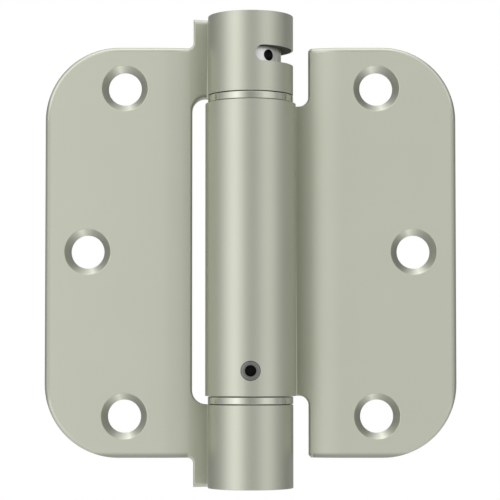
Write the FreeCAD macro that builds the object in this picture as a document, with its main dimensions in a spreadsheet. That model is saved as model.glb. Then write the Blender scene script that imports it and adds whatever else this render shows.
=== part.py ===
import FreeCAD, Part
import Sketcher
import math
import os

# A spring loaded door hinge, lying flat open, in millimetres.
# +Z runs up the pin axis, the leaves lie along X, and the countersunk faces look towards -Y.
# The origin is on the pin axis at half the height of the leaves.

SIZES = {
    # Leaves
    "leaf_height": 88.9,
    "frame_leaf_width": 44.45,
    "door_leaf_width": 44.45,
    "sheet_thickness": 2.5,
    "closed_gap": 1.6,
    "corner_radius": 15.9,
    "rim_bevel": 0.8,
    "fold_angle": 23.0,
    "fold_radius": 18.0,
    # Screw holes, the same on both leaves
    "screw_spacing": 71.0,
    "outer_screw_reach": 27.25,
    "middle_screw_reach": 35.25,
    "screw_hole_diameter": 7.2,
    "countersink_diameter": 10.05,
    "countersink_angle": 90.0,
    # Barrel
    "barrel_length": 101.6,
    "end_knuckle_radius": 9.2,
    "middle_knuckle_radius": 9.77,
    "top_knuckle_height": 17.1,
    "bottom_knuckle_height": 17.85,
    "washer_thickness": 1.6,
    "seat_gap": 0.12,
    "roll_seam": 0.15,
    # Cuts in the leaves beside the barrel
    "tab_reach": 12.4,
    "tab_fillet": 1.3,
    "window_reach": 12.7,
    "window_corner": 3.0,
    "notch_reach": 12.6,
    "notch_corner": 2.1,
    "notch_lip_bevel": 0.5,
    # Adjusting slot in the top knuckle
    "slot_height": 3.45,
    "slot_drop": 9.05,
    "slot_start_angle": 6.6,
    "slot_end_angle": 150.0,
    # Tension adjuster
    "running_clearance": 0.09,
    "adjuster_recess": 0.5,
    "adjuster_depth": 9.4,
    "adjuster_top_bevel": 0.5,
    "wrench_flats": 4.8,
    "wrench_socket_depth": 5.0,
    "peg_hole_count": 5,
    "peg_hole_diameter": 2.4,
    "peg_hole_depth": 3.4,
    "peg_hole_angle": 36.0,
    # Sleeves
    "barrel_sleeve_height": 3.0,
    "journal_sleeve_wall": 0.55,
    # Anchor plug and its pin
    "anchor_plug_height": 12.6,
    "journal_length": 16.0,
    "anchor_pin_rise": 5.41,
    "anchor_pin_diameter": 4.15,
    "anchor_pin_length": 13.5,
    "anchor_pin_wall": 0.85,
    "anchor_pin_bevel": 0.3,
    "pin_hole_clearance": 0.03,
    # Torsion spring
    "wire_diameter": 2.35,
    "coil_radius": 5.45,
    "coil_pitch": 2.5,
    "coil_steps": 10,
    "wire_sides": 6,
    "leg_length": 3.0,
    "leg_slot_clearance": 0.15,
    # Arbor inside the spring
    "arbor_radius": 3.0,
    "arbor_seat_depth": 3.0,
    # Cap in the bottom knuckle
    "cap_thickness": 2.4,
    "cap_recess": 0.4,
    "cap_clearance": 0.02,
}

doc = FreeCAD.newDocument("spring_hinge")
sheet = doc.addObject("Spreadsheet::Sheet", "Sizes")
for row, (alias, number) in enumerate(SIZES.items(), start=1):
    sheet.set(f"A{row}", alias)
    sheet.set(f"B{row}", str(number))
    sheet.setAlias(f"B{row}", alias)
doc.recompute()


class Formula:
    """A size worked out from the sheet: the text that the document keeps, and its number now."""

    def __init__(self, text, number):
        self.text = text
        self.number = number

    def joined(self, sign, other, number):
        return Formula(f"({self.text} {sign} {formula(other).text})", number)

    def __add__(self, other):
        return self.joined("+", other, self.number + formula(other).number)

    def __sub__(self, other):
        return self.joined("-", other, self.number - formula(other).number)

    def __mul__(self, other):
        return self.joined("*", other, self.number * formula(other).number)

    def __truediv__(self, other):
        return self.joined("/", other, self.number / formula(other).number)

    def __neg__(self):
        return Formula(f"(0 - {self.text})", -self.number)


def formula(value):
    return value if isinstance(value, Formula) else Formula(str(value), value)


def size(alias):
    return Formula(f"Sizes.{alias}", SIZES[alias])


def sine(angle):
    return Formula(f"sin({angle.text})", math.sin(math.radians(angle.number)))


def cosine(angle):
    return Formula(f"cos({angle.text})", math.cos(math.radians(angle.number)))


def bind(feature, prop, value):
    feature.setExpression(prop, formula(value).text)


# Levels up the barrel that several pieces share
barrel_top = size("barrel_length") / 2
barrel_bottom = -barrel_top
top_knuckle_floor = barrel_top - size("top_knuckle_height")
bottom_knuckle_roof = barrel_bottom + size("bottom_knuckle_height")
upper_washer_floor = top_knuckle_floor - size("seat_gap") - size("washer_thickness")
lower_washer_floor = bottom_knuckle_roof + size("seat_gap")
middle_knuckle_roof = upper_washer_floor - size("seat_gap")
middle_knuckle_floor = lower_washer_floor + size("washer_thickness") + size("seat_gap")
slot_level = barrel_top - size("slot_drop")
anchor_pin_level = middle_knuckle_floor + size("anchor_pin_rise")

# Radii inside the barrel that several pieces share
end_bore = size("end_knuckle_radius") - size("sheet_thickness")
middle_bore = size("middle_knuckle_radius") - size("sheet_thickness")
adjuster_radius = end_bore - size("running_clearance")
plug_radius = adjuster_radius
journal_sleeve_radius = end_bore - size("running_clearance")
journal_bore = journal_sleeve_radius - size("journal_sleeve_wall")
journal_radius = journal_bore - size("running_clearance")
anchor_pin_radius = size("anchor_pin_diameter") / 2
pin_hole_radius = anchor_pin_radius + size("pin_hole_clearance")

# Levels of the spring and what holds its ends
adjuster_top = barrel_top - size("adjuster_recess")
adjuster_floor = middle_knuckle_roof - size("adjuster_depth")
plug_floor = middle_knuckle_floor
plug_roof = plug_floor + size("anchor_plug_height")
coil_low = plug_roof + size("wire_diameter") / 2 + size("leg_slot_clearance")
coil_high = adjuster_floor - size("wire_diameter") / 2 - size("leg_slot_clearance")
coil_height = coil_high - coil_low
coil_turns = coil_height / size("coil_pitch")
leg_slot_depth = size("leg_length") + size("leg_slot_clearance")
leg_slot_radius = size("wire_diameter") / 2 + size("leg_slot_clearance")

# The sheet's two faces on the flat part of a leaf, which lie behind the pin axis
leaf_face = size("closed_gap") / 2
leaf_back = leaf_face + size("sheet_thickness")


# Sketch helpers

def new_body(label):
    body = doc.addObject("PartDesign::Body", label)
    body.Label = label
    return body


def new_sketch(body, name, plane, offset=None, turn=None):
    """A sketch on one of the body's own planes, moved along its normal and turned about its upright."""
    sketch = body.newObject("Sketcher::SketchObject", f"{body.Name}_{name}")
    support = next(f for f in body.Origin.OriginFeatures if f.Role == plane)
    sketch.AttachmentSupport = [(support, "")]
    sketch.MapMode = "FlatFace"
    if turn is not None:
        axis = FreeCAD.Vector(0, 1, 0)
        sketch.AttachmentOffset = FreeCAD.Placement(FreeCAD.Vector(), FreeCAD.Rotation(axis, turn.number))
        bind(sketch, "AttachmentOffset.Rotation.Angle", turn)
    if offset is not None:
        bind(sketch, "AttachmentOffset.Base.z", offset)
    return sketch


def hold(sketch, kind, *where, value):
    """A dimension of the sketch, tied to the sheet."""
    index = sketch.addConstraint(Sketcher.Constraint(kind, *where, formula(value).number))
    sketch.setExpression(f"Constraints[{index}]", formula(value).text)


def circle(sketch, x, y, radius):
    centre = FreeCAD.Vector(formula(x).number, formula(y).number, 0)
    edge = sketch.addGeometry(Part.Circle(centre, FreeCAD.Vector(0, 0, 1), formula(radius).number))
    hold(sketch, "Radius", edge, value=radius)
    hold(sketch, "DistanceX", edge, 3, value=x)
    hold(sketch, "DistanceY", edge, 3, value=y)
    return edge


def round_about_origin(sketch, radius):
    """A circle about the sketch's origin."""
    edge = sketch.addGeometry(Part.Circle(FreeCAD.Vector(), FreeCAD.Vector(0, 0, 1), radius.number))
    hold(sketch, "Radius", edge, value=radius)
    sketch.addConstraint(Sketcher.Constraint("Coincident", edge, 3, -1, 1))
    return edge


def square_outline(sketch, corners):
    """A closed outline of level and upright lines, whose corners are (x, y) or (x, y, rounding radius)."""
    count = len(corners)
    points = [FreeCAD.Vector(formula(c[0]).number, formula(c[1]).number, 0) for c in corners]
    radii = [c[2] if len(c) > 2 else None for c in corners]

    def trimmed(index, towards):
        """Where the line that runs from one corner towards another starts."""
        step = (points[towards] - points[index]).normalize()
        return points[index] + step * (radii[index].number if radii[index] else 0)

    lines = []
    for i in range(count):
        j = (i + 1) % count
        lines.append(sketch.addGeometry(Part.LineSegment(trimmed(i, j), trimmed(j, i))))
        level = abs(points[j].y - points[i].y) < abs(points[j].x - points[i].x)
        sketch.addConstraint(Sketcher.Constraint("Horizontal" if level else "Vertical", lines[i]))
        hold(sketch, "DistanceY" if level else "DistanceX", lines[i], 1, value=corners[i][1 if level else 0])
    for i in range(count):
        before = lines[i - 1]
        after = lines[i]
        if radii[i] is None:
            sketch.addConstraint(Sketcher.Constraint("Coincident", before, 2, after, 1))
            continue
        start = trimmed(i, i - 1)
        end = trimmed(i, (i + 1) % count)
        centre = start + end - points[i]
        middle = centre + (points[i] - centre).normalize() * radii[i].number
        arc = sketch.addGeometry(Part.Arc(start, middle, end))
        turned = (start - centre).cross(end - centre).z < 0
        first, last = (2, 1) if turned else (1, 2)
        sketch.addConstraint(Sketcher.Constraint("Tangent", before, 2, arc, first))
        sketch.addConstraint(Sketcher.Constraint("Tangent", after, 1, arc, last))
        hold(sketch, "Radius", arc, value=radii[i])


def feature(body, kind, name, sketch, **settings):
    made = body.newObject(f"PartDesign::{kind}", f"{body.Name}_{name}")
    made.Profile = sketch
    for prop, value in settings.items():
        setattr(made, prop, value)
    return made


def axis_of(body, role):
    return (next(f for f in body.Origin.OriginFeatures if f.Role == role), [""])


def dress(body, kind, name, prop, value, wanted):
    """Rounds or bevels the edges of the body so far that the test picks."""
    doc.recompute()
    base = body.Tip
    names = [f"Edge{i}" for i, edge in enumerate(base.Shape.Edges, start=1) if wanted(edge)]
    if not names:
        raise RuntimeError(f"{body.Label}: no edge for {name}")
    made = body.newObject(f"PartDesign::{kind}", f"{body.Name}_{name}")
    made.Base = (base, names)
    bind(made, prop, value)
    return made


def near(a, b, slack=0.01):
    return abs(a - b) < slack


def edge_box(edge):
    """The edge's box without the slack that a curved edge's own box has."""
    points = edge.discretize(9)
    return FreeCAD.BoundBox(
        min(p.x for p in points), min(p.y for p in points), min(p.z for p in points),
        max(p.x for p in points), max(p.y for p in points), max(p.z for p in points),
    )


# Leaves

def rolled_section(sketch, side, reach, knuckle_radius):
    """The folded sheet seen from above: flat leaf, gentle fold back, then the roll round the pin axis.

    side is +1 for a leaf towards +X and -1 for one towards -X.
    """
    fold = size("fold_angle")
    thickness = size("sheet_thickness")
    bore = knuckle_radius - thickness
    outer = knuckle_radius.number
    inner = bore.number
    slope = math.radians(fold.number)
    face = leaf_face.number
    back = leaf_back.number
    bend_in = size("fold_radius").number
    bend_out = bend_in - thickness.number

    def point(x, y):
        return FreeCAD.Vector(side * x, y, 0)

    def on_circle(radius, angle):
        return point(radius * math.cos(angle), radius * math.sin(angle))

    def bend_points(level, distance, reach_back):
        """Start, middle and end of a fold arc, where a flat face meets a sloping one."""
        corner = (distance - math.cos(slope) * level) / math.sin(slope)
        run = reach_back * math.tan(slope / 2)
        start = point(corner + run, level)
        end = point(corner - run * math.cos(slope), level + run * math.sin(slope))
        centre = point(corner + run, level + reach_back)
        way = point(-math.sin(slope / 2), -math.cos(slope / 2))
        return start, centre + way * reach_back, end

    # The roll's cut end stops short of the sloping face by the seam
    roll_end = math.pi / 2 - slope - math.acos((inner - SIZES["roll_seam"]) / outer)
    tangent_angle = math.pi / 2 - slope
    front_bend = bend_points(face, inner, bend_in)
    back_bend = bend_points(back, outer, bend_out)
    bore_start = on_circle(inner, tangent_angle)
    bore_middle = on_circle(inner, tangent_angle + math.pi)
    bore_end = on_circle(inner, roll_end)
    outer_start = on_circle(outer, roll_end)
    outer_middle = on_circle(outer, tangent_angle + math.pi)
    outer_end = on_circle(outer, tangent_angle)

    def add(curve):
        return sketch.addGeometry(curve)

    flat_front = add(Part.LineSegment(point(reach.number, face), front_bend[0]))
    fold_front = add(Part.Arc(*front_bend))
    slope_front = add(Part.LineSegment(front_bend[2], bore_start))
    bore_arc = add(Part.Arc(bore_start, bore_middle, bore_end))
    cut_end = add(Part.LineSegment(bore_end, outer_start))
    outer_arc = add(Part.Arc(outer_start, outer_middle, outer_end))
    slope_back = add(Part.LineSegment(outer_end, back_bend[2]))
    fold_back = add(Part.Arc(*back_bend))
    flat_back = add(Part.LineSegment(back_bend[0], point(reach.number, back)))
    end_face = add(Part.LineSegment(point(reach.number, back), point(reach.number, face)))

    def arc_ends(arc, start):
        """The arc's vertex numbers in the order of this outline."""
        own = sketch.getPoint(arc, 1)
        return (1, 2) if own.distanceToPoint(start) < 1e-6 else (2, 1)

    def link(kind, first, first_end, second, second_end):
        sketch.addConstraint(Sketcher.Constraint(kind, first, first_end, second, second_end))

    fold_front_ends = arc_ends(fold_front, front_bend[0])
    bore_ends = arc_ends(bore_arc, bore_start)
    outer_ends = arc_ends(outer_arc, outer_start)
    fold_back_ends = arc_ends(fold_back, back_bend[2])
    link("Tangent", flat_front, 2, fold_front, fold_front_ends[0])
    link("Tangent", slope_front, 1, fold_front, fold_front_ends[1])
    link("Tangent", slope_front, 2, bore_arc, bore_ends[0])
    link("Coincident", cut_end, 1, bore_arc, bore_ends[1])
    link("Coincident", cut_end, 2, outer_arc, outer_ends[0])
    link("Tangent", slope_back, 1, outer_arc, outer_ends[1])
    link("Tangent", slope_back, 2, fold_back, fold_back_ends[0])
    link("Tangent", flat_back, 1, fold_back, fold_back_ends[1])
    link("Coincident", flat_back, 2, end_face, 1)
    link("Coincident", end_face, 2, flat_front, 1)
    link("Coincident", bore_arc, 3, -1, 1)
    link("Coincident", outer_arc, 3, -1, 1)
    for line in (flat_front, flat_back):
        sketch.addConstraint(Sketcher.Constraint("Horizontal", line))
    sketch.addConstraint(Sketcher.Constraint("Vertical", end_face))
    sketch.addConstraint(Sketcher.Constraint("PointOnObject", -1, 1, cut_end))
    hold(sketch, "DistanceY", flat_front, 1, value=leaf_face)
    hold(sketch, "DistanceY", flat_back, 2, value=leaf_back)
    hold(sketch, "DistanceX", end_face, 1, value=reach * side)
    hold(sketch, "Radius", bore_arc, value=bore)
    hold(sketch, "Radius", outer_arc, value=knuckle_radius)
    hold(sketch, "Radius", fold_front, value=size("fold_radius"))
    hold(sketch, "Radius", fold_back, value=size("fold_radius") - thickness)
    hold(sketch, "DistanceX", slope_front, 2, value=bore * sine(fold) * side)
    hold(sketch, "DistanceX", slope_back, 1, value=knuckle_radius * sine(fold) * side)
    hold(sketch, "Distance", outer_arc, outer_ends[0], slope_front, value=size("roll_seam"))


def screw_holes(body, side):
    """Three countersunk holes, cut from the leaf's front face."""
    sketch = new_sketch(body, "screw_places", "XZ_Plane", offset=-leaf_face)
    half = size("screw_spacing") / 2
    places = [
        (size("outer_screw_reach") * side, half),
        (size("middle_screw_reach") * side, formula(0)),
        (size("outer_screw_reach") * side, -half),
    ]
    for x, z in places:
        circle(sketch, x, z, size("screw_hole_diameter") / 2)
    doc.recompute()
    holes = feature(body, "Hole", "screw_holes", sketch)
    holes.ThreadType = "None"
    holes.DepthType = "ThroughAll"
    holes.HoleCutType = "Countersink"
    holes.HoleCutCustomValues = True
    bind(holes, "Diameter", size("screw_hole_diameter"))
    bind(holes, "HoleCutDiameter", size("countersink_diameter"))
    bind(holes, "HoleCutCountersinkAngle", size("countersink_angle"))
    return holes


def leaf_blank(label, side, reach, knuckle_radius, length, level, corners):
    """The rolled section over the knuckle's length, trimmed to the leaf's outline."""
    body = new_body(label)
    section = new_sketch(body, "section", "XY_Plane", offset=level)
    rolled_section(section, side, reach, knuckle_radius)
    doc.recompute()
    rolled = feature(body, "Pad", "rolled", section, SideType="Symmetric")
    bind(rolled, "Length", length)
    outline = new_sketch(body, "outline", "XZ_Plane")
    spare = size("barrel_length")
    square_outline(outline, [(-spare, -spare), (spare, -spare), (spare, spare), (-spare, spare)])
    square_outline(outline, corners)
    doc.recompute()
    full = body.Tip.Shape.Volume
    feature(body, "Pocket", "outside", outline, Type="ThroughAll", SideType="Symmetric")
    doc.recompute()
    if not body.Tip.Shape.Volume < full:
        raise RuntimeError(f"{label}: the outline cut nothing")
    return body


def front_rim(reach):
    """Picks the front edges round the outside of a leaf's flat part."""
    def wanted(edge):
        box = edge_box(edge)
        on_face = near(box.YMin, leaf_face.number) and near(box.YMax, leaf_face.number)
        at_end = near(abs(box.ZMin), SIZES["leaf_height"] / 2) and near(box.ZMin, box.ZMax)
        far_side = near(max(abs(box.XMin), abs(box.XMax)), reach.number) and near(box.XMin, box.XMax)
        corner = edge.Curve.TypeId == "Part::GeomCircle" and near(edge.Curve.Radius, SIZES["corner_radius"])
        return on_face and (at_end or far_side or corner)
    return wanted


def make_frame_leaf():
    side = -1
    reach = size("frame_leaf_width")
    top = size("leaf_height") / 2
    past = size("end_knuckle_radius") * 2
    tab = -size("tab_reach")
    window = -size("window_reach")
    corner = size("corner_radius")
    corners = [
        (-reach, top, corner),
        (tab, top, size("tab_fillet")),
        (tab, barrel_top),
        (past, barrel_top),
        (past, top_knuckle_floor),
        (window, top_knuckle_floor, size("window_corner")),
        (window, bottom_knuckle_roof, size("window_corner")),
        (past, bottom_knuckle_roof),
        (past, barrel_bottom),
        (tab, barrel_bottom),
        (tab, -top, size("tab_fillet")),
        (-reach, -top, corner),
    ]
    body = leaf_blank(
        "frame_leaf", side, reach, size("end_knuckle_radius"), size("barrel_length"), formula(0), corners
    )
    dress(body, "Chamfer", "rim", "Size", size("rim_bevel"), front_rim(reach))
    screw_holes(body, side)
    cut_slot(body)
    return body


def cut_slot(body):
    """The long slot round the top knuckle, with rounded ends, through which the adjuster is pinned."""
    half = size("slot_height") / 2
    start = size("slot_start_angle")
    end = size("slot_end_angle")
    middle = (start + end) / 2
    deep = end_bore - size("sheet_thickness") / 2
    proud = size("end_knuckle_radius") + size("sheet_thickness") / 2
    round_end = half / size("end_knuckle_radius") * (180 / math.pi)
    # A sketch on the upright plane looks along +X, so its own turn is a quarter less than the angle from the front
    band = new_sketch(body, "slot_band", "XZ_Plane", turn=middle - 90)
    square_outline(
        band,
        [
            (deep, slot_level - half),
            (proud, slot_level - half),
            (proud, slot_level + half),
            (deep, slot_level + half),
        ],
    )
    doc.recompute()
    before = body.Tip.Shape.Volume
    groove = feature(body, "Groove", "slot_band_cut", band, Midplane=True)
    groove.ReferenceAxis = (band, ["V_Axis"])
    bind(groove, "Angle", end - start - round_end * 2)
    doc.recompute()
    if not body.Tip.Shape.Volume < before:
        raise RuntimeError("the slot cut nothing")
    for name, angle in (("slot_start", start + round_end), ("slot_end", end - round_end)):
        mouth = new_sketch(body, name, "XZ_Plane", turn=angle)
        circle(mouth, formula(0), slot_level, half)
        doc.recompute()
        before = body.Tip.Shape.Volume
        pocket = feature(body, "Pocket", name + "_cut", mouth, Type="Length", SideType="One side", Reversed=True)
        bind(pocket, "Length", proud)
        doc.recompute()
        if not body.Tip.Shape.Volume < before:
            raise RuntimeError("the slot's round end cut nothing")


def make_door_leaf():
    side = 1
    reach = size("door_leaf_width")
    top = size("leaf_height") / 2
    past = -size("middle_knuckle_radius") * 2
    notch = size("notch_reach")
    corner = size("corner_radius")
    corners = [
        (reach, top, corner),
        (reach, -top, corner),
        (notch, -top),
        (notch, middle_knuckle_floor, size("notch_corner")),
        (past, middle_knuckle_floor),
        (past, middle_knuckle_roof),
        (notch, middle_knuckle_roof, size("notch_corner")),
        (notch, top),
    ]
    body = leaf_blank(
        "door_leaf", side, reach, size("middle_knuckle_radius"), size("barrel_length"), formula(0), corners
    )

    def notch_lip(edge):
        box = edge_box(edge)
        along_y = near(box.XMin, box.XMax) and near(box.ZMin, box.ZMax)
        return along_y and near(box.XMin, notch.number) and near(abs(box.ZMin), top.number)

    dress(body, "Chamfer", "notch_lip", "Size", size("notch_lip_bevel"), notch_lip)
    dress(body, "Chamfer", "rim", "Size", size("rim_bevel"), front_rim(reach))
    screw_holes(body, side)
    drill_for_pin(body, size("middle_knuckle_radius"))
    return body


def drill_for_pin(body, depth):
    """The anchor pin's hole, drilled from the front of the middle knuckle."""
    mouth = new_sketch(body, "pin_mouth", "XZ_Plane", offset=size("middle_knuckle_radius"))
    circle(mouth, formula(0), anchor_pin_level, pin_hole_radius)
    doc.recompute()
    before = body.Tip.Shape.Volume
    pocket = feature(body, "Pocket", "pin_hole", mouth, Type="Length", SideType="One side")
    bind(pocket, "Length", depth)
    doc.recompute()
    if not body.Tip.Shape.Volume < before:
        raise RuntimeError(f"{body.Label}: the pin hole cut nothing")


# Turned pieces

def turned(label, profile):
    """A piece turned about the pin axis from an outline of (radius, level) corners."""
    body = new_body(label)
    sketch = new_sketch(body, "profile", "XZ_Plane")
    square_outline(sketch, profile)
    doc.recompute()
    made = feature(body, "Revolution", "turned", sketch)
    made.ReferenceAxis = (sketch, ["V_Axis"])
    made.Angle = 360
    doc.recompute()
    return body


def ring_profile(inner, outer, low, high):
    return [(inner, low), (outer, low), (outer, high), (inner, high)]


def end_edges(radius, *levels):
    """Picks the round edges of the given radius at the given levels."""
    def wanted(edge):
        if edge.Curve.TypeId != "Part::GeomCircle" or not near(edge.Curve.Radius, radius.number):
            return False
        box = edge_box(edge)
        return near(box.ZMin, box.ZMax) and any(near(box.ZMin, level.number) for level in levels)
    return wanted


def make_bearing_washer(label, low):
    return turned(label, ring_profile(end_bore, size("end_knuckle_radius"), low, low + size("washer_thickness")))


def make_barrel_sleeve(label, low):
    inner = adjuster_radius + size("running_clearance")
    outer = middle_bore - size("running_clearance")
    return turned(label, ring_profile(inner, outer, low, low + size("barrel_sleeve_height")))


def make_journal_sleeve():
    low = plug_floor - size("journal_length")
    return turned("journal_sleeve", ring_profile(journal_bore, journal_sleeve_radius, low, plug_floor))


def make_bottom_cap():
    low = barrel_bottom + size("cap_recess")
    high = low + size("cap_thickness")
    outer = end_bore - size("cap_clearance")
    return turned("bottom_cap", ring_profile(formula(0), outer, low, high))


def make_spring_arbor():
    low = plug_roof - size("arbor_seat_depth")
    high = adjuster_floor + size("arbor_seat_depth")
    return turned("spring_arbor", ring_profile(formula(0), size("arbor_radius"), low, high))


def cut_round_seat(body, name, level, depth, radius, upwards):
    """A blind round hole on the pin axis, cut up or down from a level."""
    sketch = new_sketch(body, name, "XY_Plane", offset=level)
    round_about_origin(sketch, radius)
    doc.recompute()
    before = body.Tip.Shape.Volume
    pocket = feature(body, "Pocket", name + "_cut", sketch, Type="Length", SideType="One side", Reversed=upwards)
    bind(pocket, "Length", depth)
    doc.recompute()
    if not body.Tip.Shape.Volume < before:
        raise RuntimeError(f"{body.Label}: {name} cut nothing")


def cut_leg_slot(body, name, level, upwards):
    """A round-bottomed hole beside the pin axis that takes a leg of the spring."""
    sketch = new_sketch(body, name, "XY_Plane", offset=level)
    angle = leg_angle(upwards)
    circle(
        sketch,
        size("coil_radius") * cosine(angle),
        size("coil_radius") * sine(angle),
        leg_slot_radius,
    )
    doc.recompute()
    before = body.Tip.Shape.Volume
    pocket = feature(body, "Pocket", name + "_cut", sketch, Type="Length", SideType="One side", Reversed=upwards)
    bind(pocket, "Length", leg_slot_depth)
    doc.recompute()
    if not body.Tip.Shape.Volume < before:
        raise RuntimeError(f"{body.Label}: {name} cut nothing")


def leg_angle(upper):
    """Where round the axis the spring's leg stands, from +X: the lower one at 0, the upper at the coil's end."""
    return coil_turns * 360 if upper else formula(0)


def make_tension_adjuster():
    """The plug with a wrench socket that winds the spring and is pinned through the slot."""
    body = turned("tension_adjuster", ring_profile(formula(0), adjuster_radius, adjuster_floor, adjuster_top))
    dress(body, "Chamfer", "rim", "Size", size("adjuster_top_bevel"), end_edges(adjuster_radius, adjuster_top))
    socket = new_sketch(body, "wrench_socket", "XY_Plane", offset=adjuster_top)
    hexagon(socket, size("wrench_flats"))
    doc.recompute()
    before = body.Tip.Shape.Volume
    pocket = feature(body, "Pocket", "wrench_socket_cut", socket, Type="Length", SideType="One side")
    bind(pocket, "Length", size("wrench_socket_depth"))
    doc.recompute()
    if not body.Tip.Shape.Volume < before:
        raise RuntimeError("the wrench socket cut nothing")
    cut_peg_holes(body)
    cut_leg_slot(body, "leg_slot", adjuster_floor, True)
    seat_depth = size("arbor_seat_depth") + size("leg_slot_clearance")
    cut_round_seat(body, "arbor_seat", adjuster_floor, seat_depth, arbor_bore(), True)
    return body


def arbor_bore():
    return size("arbor_radius") + size("running_clearance")


def hexagon(sketch, flats):
    """A six-sided outline about the origin, given across its flats."""
    corner_radius = flats / cosine(formula(30)) / 2
    edges = []
    for i in range(6):
        ends = [
            FreeCAD.Vector(
                corner_radius.number * math.cos(math.radians(60 * k)),
                corner_radius.number * math.sin(math.radians(60 * k)),
                0,
            )
            for k in (i, i + 1)
        ]
        edges.append(sketch.addGeometry(Part.LineSegment(*ends)))
    for i, edge in enumerate(edges):
        angle = formula(60 * i)
        sketch.addConstraint(Sketcher.Constraint("Coincident", edges[i - 1], 2, edge, 1))
        hold(sketch, "DistanceX", edge, 1, value=corner_radius * cosine(angle))
        hold(sketch, "DistanceY", edge, 1, value=corner_radius * sine(angle))


def cut_peg_holes(body):
    """Radial holes round the adjuster, one of which shows in the slot."""
    spoke = new_sketch(body, "peg_spoke", "XZ_Plane", turn=size("peg_hole_angle") - 90)
    half = size("peg_hole_diameter") / 2
    floor = adjuster_radius - size("peg_hole_depth")
    square_outline(
        spoke,
        [
            (floor, slot_level),
            (adjuster_radius + half, slot_level),
            (adjuster_radius + half, slot_level + half),
            (floor, slot_level + half),
        ],
    )
    doc.recompute()
    before = body.Tip.Shape.Volume
    groove = feature(body, "Groove", "peg_hole", spoke)
    groove.ReferenceAxis = (spoke, ["Edge1"])
    groove.Angle = 360
    doc.recompute()
    one = before - body.Tip.Shape.Volume
    pattern = body.newObject("PartDesign::PolarPattern", f"{body.Name}_peg_holes")
    pattern.Originals = [groove]
    pattern.Axis = axis_of(body, "Z_Axis")
    pattern.Angle = 360
    pattern.Occurrences = int(SIZES["peg_hole_count"])
    bind(pattern, "Occurrences", size("peg_hole_count"))
    body.Tip = pattern
    doc.recompute()
    if one <= 0 or before - body.Tip.Shape.Volume < one * (SIZES["peg_hole_count"] - 0.5):
        raise RuntimeError("the peg holes cut too little")


def make_anchor_plug():
    """The plug pinned in the middle knuckle, with a journal that turns in the bottom knuckle."""
    journal_floor = plug_floor - size("journal_length")
    profile = [
        (formula(0), journal_floor),
        (journal_radius, journal_floor),
        (journal_radius, plug_floor),
        (plug_radius, plug_floor),
        (plug_radius, plug_roof),
        (formula(0), plug_roof),
    ]
    body = turned("anchor_plug", profile)
    drill_for_pin(body, size("anchor_pin_length") + size("pin_hole_clearance"))
    cut_leg_slot(body, "leg_slot", plug_roof, False)
    cut_round_seat(body, "arbor_seat", plug_roof, size("arbor_seat_depth"), size("arbor_radius"), False)
    return body


def make_anchor_roll_pin():
    """A rolled tube, driven in from the front of the middle knuckle until it is flush."""
    body = new_body("anchor_roll_pin")
    section = new_sketch(body, "section", "XZ_Plane", offset=size("middle_knuckle_radius"))
    circle(section, formula(0), anchor_pin_level, anchor_pin_radius)
    circle(section, formula(0), anchor_pin_level, anchor_pin_radius - size("anchor_pin_wall"))
    doc.recompute()
    tube = feature(body, "Pad", "tube", section, SideType="One side", Reversed=True)
    bind(tube, "Length", size("anchor_pin_length"))

    def outer_end(edge):
        box = edge_box(edge)
        is_arc = edge.Curve.TypeId == "Part::GeomCircle"
        return near(box.YMin, box.YMax) and is_arc and near(edge.Curve.Radius, anchor_pin_radius.number)

    dress(body, "Chamfer", "ends", "Size", size("anchor_pin_bevel"), outer_end)
    return body


def make_torsion_spring():
    """A close coil of wire whose two legs stand down and up into the plugs.

    The wire is round on the real spring. Here it has a few flat sides, and each turn a few straight steps.
    """
    steps = math.ceil(coil_turns.number * SIZES["coil_steps"])
    wire = SIZES["wire_diameter"] / 2
    reach = SIZES["coil_radius"]
    leg = SIZES["leg_length"] + wire
    up = FreeCAD.Vector(0, 0, 1)

    def section(angle, level, lean, lift=0, stretch=1):
        """The wire's outline at one place: lean 0 faces along the coil and lean 90 faces up a leg."""
        out = FreeCAD.Vector(math.cos(angle), math.sin(angle), 0)
        along = up.cross(out)
        tilt = math.radians(lean)
        second = (up * math.cos(tilt) - along * math.sin(tilt)) * stretch
        centre = out * reach + up * (level + lift)
        corners = []
        for k in range(int(SIZES["wire_sides"])):
            turn = 2 * math.pi * (k + 0.5) / SIZES["wire_sides"]
            corners.append(centre + out * (wire * math.cos(turn)) + second * (wire * math.sin(turn)))
        return corners

    mitre = 1 / math.cos(math.pi / 4)
    last_angle = 2 * math.pi * coil_turns.number
    rings = [section(0, coil_low.number, 90, lift=-leg), section(0, coil_low.number, 45, stretch=mitre)]
    for i in range(1, steps):
        part_way = i / steps
        rings.append(section(last_angle * part_way, coil_low.number + coil_height.number * part_way, 0))
    rings.append(section(last_angle, coil_high.number, 45, stretch=mitre))
    rings.append(section(last_angle, coil_high.number, 90, lift=leg))

    faces = []
    for ring in (rings[0], rings[-1]):
        faces.append(Part.Face(Part.makePolygon(ring + ring[:1])))
    for low, high in zip(rings, rings[1:]):
        for k, start in enumerate(low):
            following = (k + 1) % len(low)
            for corners in ((start, low[following], high[following]), (start, high[following], high[k])):
                faces.append(Part.Face(Part.makePolygon([*corners, start])))
    shell = Part.makeShell(faces)
    shell.sewShape()
    spring = doc.addObject("Part::Feature", "torsion_spring")
    spring.Label = "torsion_spring"
    spring.Shape = Part.makeSolid(shell)
    if spring.Shape.Volume < 0:
        spring.Shape = spring.Shape.reversed()
    return spring


make_frame_leaf()
make_door_leaf()
make_tension_adjuster()
make_torsion_spring()
make_spring_arbor()
make_anchor_plug()
make_anchor_roll_pin()
make_bearing_washer("upper_bearing_washer", upper_washer_floor)
make_bearing_washer("lower_bearing_washer", lower_washer_floor)
make_barrel_sleeve("upper_barrel_sleeve", middle_knuckle_roof - size("barrel_sleeve_height"))
make_barrel_sleeve("lower_barrel_sleeve", middle_knuckle_floor)
make_journal_sleeve()
make_bottom_cap()
doc.recompute()

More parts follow.
